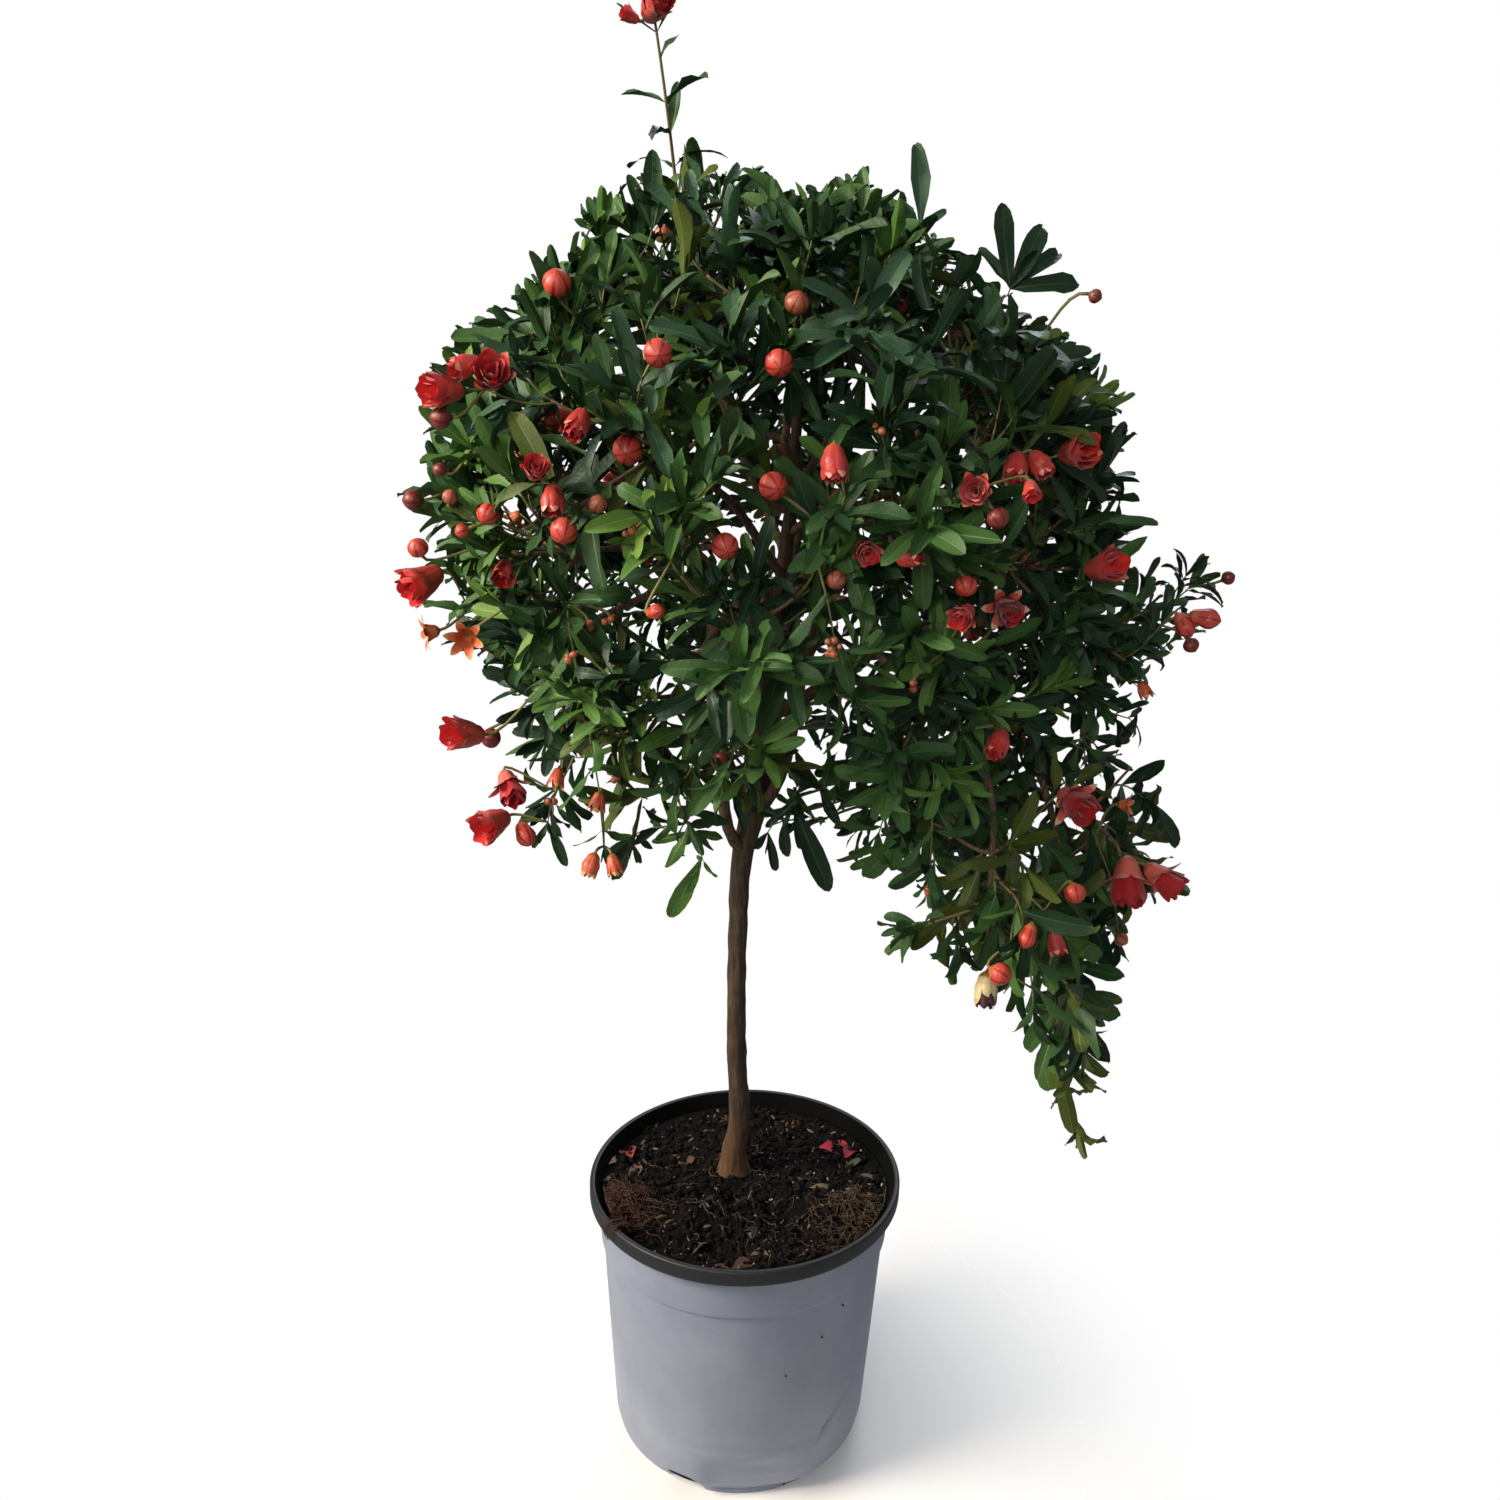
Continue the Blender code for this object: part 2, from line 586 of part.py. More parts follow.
class Mass:
    """One mass of foliage: a stem from its bough's tip, twigs from the stem, and leaves on the twigs."""

    def __init__(self, name, index, crown, limb, way, length):
        self.name, self.index, self.crown = name, index, crown
        self.random = random.Random(FIRST_SEED + index)
        self.group = bpy.data.collections.new(name + "_pieces")
        bpy.context.scene.collection.children.link(self.group)
        self.start, self.way, self.length = limb.line[-1] + way * GAP, way, length
        self.outwards = (crown.seed(index) - CROWN_CENTRE).normalized()
        self.twigs, self.placed = [], []

    def add(self, mesh):
        made = bpy.data.objects.new("piece", mesh)
        self.group.objects.link(made)

    def add_apart(self, name, points, faces):
        """Adds a leaf or bud if it keeps to the space and crosses nothing but its own twig, the last one."""
        tree = BVHTree.FromPolygons(points, faces)
        if not self.crown.in_space(points, self.index) or not self.crown.clear_of_limbs(tree):
            return False
        if any(tree.overlap(other) for other in self.placed + self.twigs[:-1]):
            return False
        self.placed.append(tree)
        self.add(mesh_from(name, points, faces))
        return True

    def stem_mesh(self):
        last = len(STEM_RADII) - 1
        line = [self.start + self.way * (self.length * k / last) for k in range(last + 1)]
        return skinned(self.name, tube_rings(line, STEM_RADII, TWIG_SIDES))

    def try_leaf(self, root, along, face, full_length):
        """Adds a leaf, smaller or turned further out where it has to be, or none where it has no room."""
        for share, turn in LEAF_TRIES:
            way = along.lerp(self.outwards, turn).normalized()
            points = leaf_points(root - way * ROOT_DEPTH, way, face, full_length * share)
            if self.add_apart("leaf", points, leaf_faces()):
                return

    def twig(self, tip, blossom, size):
        """A twig from the stem to this point, with pairs of leaves along it and a leaf or bud at its end."""
        share = (tip - self.start).dot(self.way) / self.length * TWIG_START
        start = self.start + self.way * (self.length * max(TWIG_FIRST, min(TWIG_LAST, share)))
        rings = tube_rings([start, tip], TWIG_RADII, TWIG_SIDES)
        tree = tube_tree(rings)
        if not self.crown.in_space(rings[1], self.index) or not self.crown.clear_of_limbs(tree):
            return
        self.add(skinned("twig", rings))
        self.twigs.append(tree)
        axis = (tip - start).normalized()
        self.leaf_pairs(start, tip, axis, size)
        if not (blossom and self.try_blossom(tip, axis)):
            lean = axis.orthogonal().normalized() * self.random.uniform(-TIP_LEAN, TIP_LEAN)
            face = axis.cross(lean) + Vector((0, 0, 1))
            self.try_leaf(tip - axis * TWIG_RADII[1], (axis + lean).normalized(), face, LEAF_LENGTH * size)

    def leaf_pairs(self, start, tip, axis, size):
        """Pairs back from the tip, each turned from the last, with their upper faces towards the tip."""
        length = (tip - start).length
        side = axis.orthogonal().normalized()
        back = length - PAIR_FIRST
        turn = self.random.uniform(0, math.pi)
        while back > length * PAIR_LAST:
            root = start + axis * back
            across = side * math.cos(turn) + axis.cross(side) * math.sin(turn)
            for way in (across, -across):
                root = root - axis * PAIR_STAGGER
                angle = LEAF_ANGLE * self.random.uniform(*ANGLE_VARIES)
                along = axis * math.cos(angle) + way * math.sin(angle)
                face = axis * math.sin(angle) - way * math.cos(angle)
                self.try_leaf(root, along, face, LEAF_LENGTH * size * self.random.uniform(*LENGTH_VARIES))
            back -= PAIR_SPACING
            turn += self.random.uniform(*PAIR_TURN)

    def try_blossom(self, tip, axis):
        sag = (axis + Vector((0, 0, -BLOSSOM_SAG))).normalized()
        root = tip - sag * BLOSSOM_ROOT
        points = [root] + [point for ring in blossom_rings(root, sag) for point in ring]
        return self.add_apart("blossom", points, blossom_faces())

    def build(self, leaf_green):
        made = add_object(self.name, self.stem_mesh(), leaf_green)
        apply_boolean(made, "UNION", "MANIFOLD", group=self.group)
        for piece in list(self.group.objects):
            bpy.data.meshes.remove(piece.data)
        bpy.data.collections.remove(self.group)
        keep_largest_body(made)


def tufted(way):
    """Share of the crown radius that the twigs reach this way: the crown has tufts and dips."""
    broad, fine = TUFT_SHARES
    upwards = math.sin(5 * way.x + 2) * math.cos(4 * way.z + 1)
    return TWIG_REACH + broad * upwards + fine * math.sin(9 * way.y + 6 * way.x)


def twig_tips():
    """Where the twigs of the whole plant end, each with its leaves' size and whether it flowers."""
    tips = []
    for middle in crown_ways():
        side = middle.orthogonal()
        ways = [middle]
        for k in range(RING_TWIGS):
            angle = 2 * math.pi * k / RING_TWIGS + RING_TURN * middle.z
            off = (side * math.cos(angle) + middle.cross(side) * math.sin(angle)) * RING_SPREAD
            ways.append((middle + off).normalized())
        for way in ways:
            tip = CROWN_CENTRE + way * (CROWN_RADIUS * tufted(way))
            tips.append((tip, len(tips) % BLOSSOM_EVERY == 1, 1.0))
    for seed, _, reach in WEEPING.values():
        for way in spread_directions(WEEPING_TWIGS, -1.0):
            tips.append((seed + way * reach, len(tips) % BLOSSOM_EVERY == 1, WEEPING_LEAF))
    for name, tip in LONG_SHOOTS.items():
        tips.append((tip, name in FLOWERING_SHOOTS, SHOOT_LEAF))
    return tips


def build_foliage(limbs, ends, leaf_green):
    """ends: (name, bough, way, seed, stem length) for each mass."""
    crown = Crown([seed for _, _, _, seed, _ in ends], limbs)
    masses = []
    for k, (name, limb, way, _, length) in enumerate(ends):
        masses.append(Mass(name, k, crown, limb, way, length))
    for tip, blossom, size in twig_tips():
        masses[crown.nearest(tip)].twig(tip, blossom, size)
    for mass in masses:
        mass.build(leaf_green)


def main():
    for obj in list(bpy.data.objects):
        bpy.data.objects.remove(obj)
    plastic = material("pale grey polypropylene", (0.50, 0.51, 0.56), 0.45)
    mix = material("potting mix", (0.035, 0.026, 0.020), 0.95)
    bark = material("pomegranate bark", (0.26, 0.17, 0.09), 0.75)
    leaf_green = material("pomegranate leaf", (0.030, 0.095, 0.035), 0.40)

    build_pot(plastic)
    build_soil(mix)

    trunk = trunk_limb()
    build_limb(trunk, bark)
    ends, limbs = [], [trunk]
    seeds = [CROWN_CENTRE + way * (CROWN_RADIUS * SEED_SHARE) for way in crown_ways()]
    for k, (limb, way) in enumerate(crown_limbs(trunk)):
        if limb is not trunk:
            build_limb(limb, bark, parent=trunk)
            limbs.append(limb)
        ends.append((f"foliage_{k + 1:02d}", limb, way, seeds[k], CROWN_RADIUS * STEM_SHARE))
    hanging = weeping_limbs(trunk)
    arch = hanging["shoulder"][0]
    for name, (limb, way) in hanging.items():
        build_limb(limb, bark, parent=trunk if limb is arch else arch)
        limbs.append(limb)
        ends.append((f"weeping_foliage_{name}", limb, way, WEEPING[name][0], WEEPING[name][2].z))
    build_foliage(limbs, ends, leaf_green)


if __name__ == "__main__":
    main()
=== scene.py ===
import math

import bpy
import numpy as np
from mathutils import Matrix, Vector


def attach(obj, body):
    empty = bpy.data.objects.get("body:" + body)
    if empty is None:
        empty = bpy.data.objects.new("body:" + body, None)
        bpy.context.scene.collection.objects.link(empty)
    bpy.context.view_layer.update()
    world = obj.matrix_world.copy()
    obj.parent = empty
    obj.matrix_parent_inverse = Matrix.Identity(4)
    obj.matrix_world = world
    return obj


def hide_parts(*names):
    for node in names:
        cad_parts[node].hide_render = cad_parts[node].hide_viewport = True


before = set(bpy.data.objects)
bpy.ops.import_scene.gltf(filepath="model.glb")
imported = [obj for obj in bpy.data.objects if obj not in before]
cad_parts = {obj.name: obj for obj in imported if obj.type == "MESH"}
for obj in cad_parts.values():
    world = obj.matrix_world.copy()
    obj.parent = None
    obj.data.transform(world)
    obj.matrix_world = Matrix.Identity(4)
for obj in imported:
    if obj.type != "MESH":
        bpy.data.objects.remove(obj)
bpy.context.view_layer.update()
print("frame loaded:", len(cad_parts), "nodes")

# Colours, materials and meshes


def linear(hexColour):
    # sRGB hex to linear red, green and blue
    values = np.array([int(hexColour[k:k + 2], 16) / 255 for k in (1, 3, 5)])
    return np.where(values <= 0.04045, values / 12.92, ((values + 0.055) / 1.055) ** 2.4)


def addNode(tree, kind, settings=None, inputs=None):
    # one node, with its settings, and each input given a value or linked from another node's output
    node = tree.nodes.new("ShaderNode" + kind)
    for name, value in (settings or {}).items():
        setattr(node, name, value)
    for name, value in (inputs or {}).items():
        if isinstance(value, bpy.types.NodeSocket):
            tree.links.new(value, node.inputs[name])
        else:
            node.inputs[name].default_value = value
    return node


def newMaterial(name, colour, roughness, grain=None, relief=0.0, **sockets):
    # a Principled BSDF in one plain colour; grain and relief are its fine bumps' size and height in metres
    made = bpy.data.materials.new(name)
    made.use_nodes = True
    tree = made.node_tree
    shader = tree.nodes["Principled BSDF"]
    shader.inputs["Base Color"].default_value = (*linear(colour), 1)
    shader.inputs["Roughness"].default_value = roughness
    for socket, value in sockets.items():
        shader.inputs[socket.replace("_", " ")].default_value = value
    if grain:
        where = addNode(tree, "TexCoord").outputs["Object"]
        noise = addNode(tree, "TexNoise", None, {"Vector": where, "Scale": 1 / grain, "Detail": 3.0})
        bump = addNode(tree, "Bump", None, {"Height": noise.outputs[0], "Distance": relief, "Strength": 1.0})
        tree.links.new(bump.outputs[0], shader.inputs["Normal"])
    return made


def addPiece(name, points, faceSets, materials, nodes=(), faceTones=None, smooth=True):
    # one mesh from whole arrays of points and faces, riding on the plant's one body
    mesh = bpy.data.meshes.new(name)
    sizes = np.concatenate([np.full(len(faces), faces.shape[1]) for faces in faceSets])
    corners = np.concatenate([faces.ravel() for faces in faceSets])
    mesh.vertices.add(len(points))
    mesh.vertices.foreach_set("co", np.asarray(points, np.float32).ravel())
    mesh.loops.add(len(corners))
    mesh.loops.foreach_set("vertex_index", corners.astype(np.int32))
    mesh.polygons.add(len(sizes))
    mesh.polygons.foreach_set("loop_start", (np.cumsum(sizes) - sizes).astype(np.int32))
    for material in materials:
        mesh.materials.append(material)
    if faceTones is not None:
        mesh.polygons.foreach_set("material_index", np.asarray(faceTones, np.int32))
    mesh.polygons.foreach_set("use_smooth", np.full(len(sizes), smooth))
    mesh.update(calc_edges=True)
    piece = bpy.data.objects.new(name, mesh)
    bpy.context.scene.collection.objects.link(piece)
    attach(piece, "root")
    if nodes:
        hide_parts(*nodes)
    print("made", name, "with", int((sizes - 2).sum()), "triangles")


# Shapes worked out as whole arrays


def unit(vectors):
    vectors = np.asarray(vectors, float)
    return vectors / np.maximum(np.linalg.norm(vectors, axis=-1, keepdims=True), 1e-12)


def squareTo(vectors):
    # a unit vector square to each: its cross product with whichever of Z and X is further from it
    steep = np.abs(vectors[..., 2:3]) > 0.8
    return unit(np.cross(vectors, np.where(steep, [1.0, 0.0, 0.0], [0.0, 0.0, 1.0])))


def around(axis, angle):
    # a unit vector square to the axis, turned round it: cos a x side + sin a x (axis x side)
    side = squareTo(axis)
    return side * np.cos(angle) + np.cross(axis, side) * np.sin(angle)


def between(at, marks, line):
    # points on a line, from how far along they sit and how far along the line's own points do
    return np.stack([np.interp(at, marks, column) for column in line.T], -1)


def rampUp(values, start, width):
    # 0 up to start, 1 from start + width on and straight between; a width below 0 ramps the other way
    return np.clip((values - start) / width, 0, 1)


def waveNoise(points, size, seed, waves=16):
    # smooth noise mostly between -1 and 1: the sum of sine waves, about `size` long, that run all ways
    draw = np.random.default_rng(seed)
    ways = unit(draw.normal(size=(waves, 3))) * (2 * np.pi / size) * draw.uniform(0.6, 1.6, (waves, 1))
    phases = draw.uniform(0, 2 * np.pi, waves)
    return np.sin(points @ ways.T + phases).sum(-1) / math.sqrt(waves)


def bezier(a, b, c, d, count):
    # cubic curves: (1-t)^3 a + 3(1-t)^2 t b + 3(1-t)t^2 c + t^3 d
    t = np.linspace(0, 1, count)[:, None]
    a, b, c, d = (np.asarray(p, float)[..., None, :] for p in (a, b, c, d))
    return (1 - t) ** 3 * a + 3 * (1 - t) ** 2 * t * b + 3 * (1 - t) * t * t * c + t**3 * d


def smoothLine(points, parts):
    # a Catmull-Rom curve: it passes through each point in the direction from the one before to the one after
    points = np.asarray(points, float)
    padded = np.concatenate([points[:1], points, points[-1:]])
    p0, p1, p2, p3 = (padded[k:k + len(points) - 1, None] for k in range(4))
    t = (np.arange(parts) / parts)[None, :, None]
    line = 0.5 * (2 * p1 + (p2 - p0) * t + (2 * p0 - 5 * p1 + 4 * p2 - p3) * t**2
                  + (3 * p1 - p0 - 3 * p2 + p3) * t**3)
    return np.concatenate([line.reshape(-1, points.shape[1]), points[-1:]])


def tubes(lines, radii, sides, relief=None):
    # rings along centre lines: centre + radius x (cos a x side + sin a x up), with both ends closed
    count, rings, _ = lines.shape
    ahead = unit(np.gradient(lines, axis=1))
    first = squareTo(unit(ahead.mean(1)))[:, None]
    side = unit(first - ahead * (ahead * first).sum(-1, keepdims=True))
    up = np.cross(ahead, side)
    angles = 2 * np.pi * np.arange(sides) / sides
    out = (np.cos(angles)[:, None] * side[:, :, None] + np.sin(angles)[:, None] * up[:, :, None])
    points = lines[:, :, None] + radii[..., None, None] * out
    if relief:
        points = points + relief(points, out)
    index = np.arange(count * rings * sides).reshape(count, rings, sides)
    nxt = np.roll(index, -1, axis=2)
    walls = np.stack([index[:, :-1], nxt[:, :-1], nxt[:, 1:], index[:, 1:]], -1).reshape(-1, 4)
    return points.reshape(-1, 3), [walls, np.concatenate([index[:, 0, ::-1], index[:, -1]])]


def tubeTones(tones, rings, sides):
    # each tube's tone for each of its faces: the walls and then the ends, in the order of tubes()
    return np.concatenate([tones.repeat((rings - 1) * sides), tones, tones])


def joined(parts):
    # several (points, face sets) as one, the faces renumbered
    points = np.concatenate([p for p, _ in parts])
    before = np.cumsum([0] + [len(p) for p, _ in parts[:-1]])
    faceSets = [faces + start for (_, sets), start in zip(parts, before) for faces in sets]
    return points, faceSets


def gridFaces(copies, rows, columns, closed=False):
    # quads over `copies` grids of rows x columns points, closed round the columns or not
    index = np.arange(copies * rows * columns).reshape(copies, rows, columns)
    nxt = np.roll(index, -1, axis=2)
    if not closed:
        index, nxt = index[:, :, :-1], nxt[:, :, :-1]
    return np.stack([index[:, :-1], nxt[:, :-1], nxt[:, 1:], index[:, 1:]], -1).reshape(-1, 4)


def framed(shape, root, along, face):
    # a shape's points, given as (side, forward, up), set at each root, with up as near to face as it can be
    side = unit(np.cross(along, face))
    up = np.cross(side, along)
    axes = np.stack([side, along, up], -2)
    return root[:, None] + np.einsum("npk,nkj->npj", shape, axes)


# Camera, floor and light

cameraEye = {  # metres, degrees and millimetres, and the photograph's width in pixels
    "place": (0.004, -0.852, 0.799), "down": 15.49, "lens": 30, "sensor": 36, "photoWidth": 1500,
}
camera = bpy.data.objects.new("camera", bpy.data.cameras.new("camera"))
camera.data.lens, camera.data.sensor_width = cameraEye["lens"], cameraEye["sensor"]
camera.data.clip_start = 0.05
camera.location = cameraEye["place"]
camera.rotation_euler = (math.radians(90 - cameraEye["down"]), 0, 0)
bpy.context.scene.collection.objects.link(camera)
bpy.context.scene.camera = camera
eye = np.array(cameraEye["place"])
sine, cosine = math.sin(math.radians(cameraEye["down"])), math.cos(math.radians(cameraEye["down"]))
photoMiddle = cameraEye["photoWidth"] / 2
pixelsPerUnit = cameraEye["photoWidth"] * cameraEye["lens"] / cameraEye["sensor"]


def sightRays(pixels):
    # the direction from the eye through pixels of the photograph
    x, y = (np.asarray(pixels, float).T[:2] - photoMiddle) / pixelsPerUnit
    return unit(np.stack([x, cosine - y * sine, -sine - y * cosine], -1))


def fromSightLine(points, ray):
    # how deep points lie along a sight line, and how far they are from it
    depth = (points - eye) @ ray
    return depth, np.linalg.norm(points - eye - depth[:, None] * ray, axis=1)


def atDepth(pixels, front):
    # where the sight lines through these pixels are this many metres before the trunk
    rays = sightRays(pixels)
    return eye + rays * ((-front - eye[1]) / rays[:, 1])[:, None]


def pixelsOf(points):
    # where points appear in the photograph's pixels
    x, y, z = np.moveaxis(points - eye, -1, 0)
    depth = y * cosine - z * sine
    rise = y * sine + z * cosine
    return np.stack([photoMiddle + pixelsPerUnit * x / depth, photoMiddle - pixelsPerUnit * rise / depth], -1)


studio = {
    "floorRadius": 0.42, "floorSides": 96, "floorColour": "#fbfbfa", "fadeFrom": 0.02, "fadeTo": 0.399,
    "ambient": 0.25,
    "lamps": {  # place, size in metres, watts, colour, spread in degrees and the height that it is aimed at
        "soft key": ((-2.2, -0.75, 1.9), 1.1, 120, "#fff2e2", 180, 0.50),
        "soft back": ((0.6, 1.9, 2.2), 1.4, 26, "#eef3ff", 180, 0.55),
        "crown fill": ((-0.5, -1.7, 1.4), 1.2, 1.5, "#fffdf6", 32, 0.80),
    },
}


def makeStudio():
    # a pale floor that fades into an even white surround, one broad soft light, and two weaker ones
    angles = np.linspace(0, 2 * np.pi, studio["floorSides"], endpoint=False)
    disc = np.stack([np.cos(angles), np.sin(angles), 0 * angles], -1) * studio["floorRadius"]
    mesh = bpy.data.meshes.new("floor")
    mesh.from_pydata(disc, [], [list(range(len(disc)))])
    floor = bpy.data.objects.new("floor", mesh)
    bpy.context.scene.collection.objects.link(floor)
    matt = bpy.data.materials.new("Painted plywood, matt white")
    matt.use_nodes = True
    tree = matt.node_tree
    tree.nodes.clear()
    where = addNode(tree, "TexCoord").outputs["Object"]
    away = addNode(tree, "VectorMath", {"operation": "LENGTH"}, {0: where})
    fade = addNode(tree, "MapRange", {"interpolation_type": "SMOOTHSTEP"},
                   {"Value": away.outputs["Value"], "From Min": studio["fadeFrom"],
                    "From Max": studio["fadeTo"]})
    paint = addNode(tree, "BsdfDiffuse", None, {"Color": (*linear(studio["floorColour"]), 1)})
    clear = addNode(tree, "BsdfTransparent")
    both = addNode(tree, "MixShader", None, {0: fade.outputs[0], 1: paint.outputs[0], 2: clear.outputs[0]})
    addNode(tree, "OutputMaterial", None, {"Surface": both.outputs[0]})
    mesh.materials.append(matt)

    world = bpy.data.worlds.new("soft white surround")
    bpy.context.scene.world = world
    world.use_nodes = True
    tree = world.node_tree
    seen = addNode(tree, "LightPath").outputs["Is Camera Ray"]  # white to look at, dimmer as a light
    strength = addNode(tree, "MapRange", None, {"Value": seen, "To Min": studio["ambient"], "To Max": 1.0})
    tree.links.new(strength.outputs[0], tree.nodes["Background"].inputs["Strength"])
    tree.nodes["Background"].inputs["Color"].default_value = (1, 1, 1, 1)
    for name, (place, size, watts, colour, spread, target) in studio["lamps"].items():
        light = bpy.data.lights.new(name, "AREA")
        light.shape, light.size, light.energy = "DISK", size, watts
        light.color, light.spread = linear(colour), math.radians(spread)
        lamp = bpy.data.objects.new(name, light)
        lamp.location = place
        look = Vector(place) - Vector((0, 0, target))
        lamp.rotation_euler = look.to_track_quat("Z", "Y").to_euler()
        bpy.context.scene.collection.objects.link(lamp)
    bpy.context.scene.view_settings.view_transform = "Standard"


makeStudio()
print("studio ready")

# Trunk and boughs, by the source's rule

golden = math.pi * (3 - math.sqrt(5))
trunkShape = {  # metres, as in the source; the flare's points rise from the foot
    "foot": (-0.010, 0.018, 0.2113),
    "flareRadii": (0.0128, 0.0102, 0.0090), "flareRise": (0.0006, -0.0002, 0.010),
    "line": ((-0.0045, 0.016, 0.258), (-0.0065, 0.013, 0.330), (-0.0050, 0.011, 0.420),
             (-0.0020, 0.010, 0.478), (0.0075, 0.009, 0.520), (0.0130, 0.009, 0.565),
             (0.0240, 0.010, 0.660), (0.0340, 0.010, 0.760), (0.0350, 0.010, 0.826)),
    "radii": (0.0082, 0.0072, 0.0070, 0.0074, 0.0094, 0.0080, 0.0058, 0.0042, 0.0026),
    "flareParts": 6, "parts": 14, "sides": 44,
}
crownShape = {  # as in the source; the last two say where the crown passes into the weeping side: from
    # which x and z on, and over how many metres
    "centre": (0.022, 0.008, 0.712), "radius": 0.250, "masses": 21, "lowest": -0.70,
    "seedShare": 0.66, "limbShare": 0.34, "stemShare": 0.38, "twigReach": 0.77,
    "tufts": (0.045, 0.030), "ringTwigs": 5, "ringSpread": 0.30, "ringTurn": 9,
    "weepingRight": (0.08, 0.08), "weepingBelow": (0.62, -0.10),
}
boughShape = {  # as in the source, but for the numbers of points and sides
    "first": 0.484, "last": 0.770, "radii": (0.0046, 0.0026), "tipRadius": 0.0026,
    "rise": 0.55, "bend": 0.42, "archPlace": 7,
    "archEnd": (0.168, -0.010, 0.655), "archLeaves": (0.86, -0.10, 0.42), "archEnds": (0.97, -0.12, -0.10),
    "archRadii": (0.0052, 0.0038), "hangingRadii": (0.0032, 0.0020), "hangingDrop": 0.4,
    "tipAboveSeed": 0.55, "weepingTwigs": 7, "stemRadii": (0.0024, 0.0012),
    "points": 17, "stemPoints": 7, "sides": 10,
}
weeping = {  # seed point, where on the arch its bough starts, reach
    "shoulder": ((0.252, -0.020, 0.618), 1.0, (0.058, 0.070, 0.060)),
    "inner": ((0.112, 0.006, 0.532), 0.34, (0.052, 0.056, 0.060)),
    "front": ((0.158, -0.105, 0.492), 0.50, (0.062, 0.060, 0.075)),
    "outer": ((0.256, 0.030, 0.480), 0.90, (0.055, 0.062, 0.072)),
    "back": ((0.170, 0.110, 0.500), 0.64, (0.065, 0.060, 0.080)),
    "trailing": ((0.226, -0.030, 0.380), 0.79, (0.034, 0.038, 0.062)),
}
crownCentre = np.array(crownShape["centre"])


def spreadWays(count, lowest):
    # unit vectors spaced by the golden angle: height 1 - (1 - lowest)(k + 0.5)/count, ring sqrt(1 - height^2)
    k = np.arange(count)
    height = 1 - (1 - lowest) * (k + 0.5) / count
    ring = np.sqrt(1 - height**2)
    return np.stack([ring * np.cos(k * golden), ring * np.sin(k * golden), height], -1)


def trunkCourse():
    # the trunk's line as x, y, z and radius: first the root flare, and then the rest as one curve
    flare = np.array(trunkShape["foot"]) + np.arange(3)[:, None] * np.array(trunkShape["flareRise"])
    flare = np.column_stack([flare, trunkShape["flareRadii"]])
    rest = np.column_stack([trunkShape["line"], trunkShape["radii"]])
    return np.concatenate([smoothLine(flare, trunkShape["flareParts"])[:-1],
                           smoothLine(np.concatenate([flare[-1:], rest]), trunkShape["parts"])])


crownWays = spreadWays(crownShape["masses"], crownShape["lowest"])[::-1]
trunkLine = trunkCourse()


def onTrunk(height):
    # the middle of the trunk at a height
    return between(height, trunkLine[:, 2], trunkLine[:, :3])


def boughFoot(place):
    # where on the trunk the bough of this place starts, counted from the lowest
    share = place / (crownShape["masses"] - 1)
    return onTrunk(boughShape["first"] + (boughShape["last"] - boughShape["first"]) * share)


def boughCourse(start, tip, leave, arrive, radii, stem):
    # the bough's curve and then its mass's straight stem, as x, y, z and radius
    bend = np.linalg.norm(tip - start) * boughShape["bend"]
    line = bezier(start, start + leave * bend, tip - arrive * bend, tip, boughShape["points"])
    onward = tip + arrive * (np.linspace(0, stem, boughShape["stemPoints"] + 1)[1:, None])
    thick, thin = boughShape["stemRadii"]
    radius = np.concatenate([np.linspace(*radii, boughShape["points"]),
                             np.linspace(min(radii[1], thick), thin, boughShape["stemPoints"])])
    return np.column_stack([np.concatenate([line, onward]), radius])


def growBoughs():
    # each mass's bough, the start, way and length of its stem, and its seed point
    courses, stems = {}, []
    count = crownShape["masses"]
    stemLength = crownShape["radius"] * crownShape["stemShare"]
    for k, way in enumerate(crownWays):
        seed = crownCentre + way * crownShape["radius"] * crownShape["seedShare"]
        if k == count - 1:  # the top mass sits on the leader
            stems.append((trunkLine[-1, :3], unit(trunkLine[-1, :3] - trunkLine[-8, :3]), stemLength, seed))
            continue
        place = k if k < boughShape["archPlace"] else k + 1
        start = boughFoot(place)
        tip = crownCentre + way * crownShape["radius"] * crownShape["limbShare"]
        leave = unit((way[0], way[1], boughShape["rise"]))
        radius = np.interp(k / (count - 1), (0, 1), boughShape["radii"])
        courses[f"bough_{k + 1:02d}"] = boughCourse(start, tip, leave, way,
                                                    (radius, boughShape["tipRadius"]), stemLength)
        stems.append((tip, way, stemLength, seed))
    start = boughFoot(boughShape["archPlace"])
    archEnds = unit(boughShape["archEnds"])
    arch = boughCourse(start, np.array(boughShape["archEnd"]), unit(boughShape["archLeaves"]), archEnds,
                       boughShape["archRadii"], weeping["shoulder"][2][2])
    courses["weeping_bough_arch"] = arch
    along = np.arange(boughShape["points"])
    down = np.array([0, 0, -1.0])
    for name, (seed, share, reach) in weeping.items():
        seed = np.array(seed)
        begin = between(share * along[-1], along, arch[:len(along), :3])
        if name == "shoulder":
            stems.append((begin, archEnds, reach[2], seed))
            continue
        tip = seed + (0, 0, reach[2] * boughShape["tipAboveSeed"])
        leave = unit((tip - begin) * (1, 1, boughShape["hangingDrop"]))
        courses[f"weeping_bough_{name}"] = boughCourse(begin, tip, leave, down,
                                                       boughShape["hangingRadii"], reach[2])
        stems.append((tip, down, reach[2], seed))
    return courses, stems


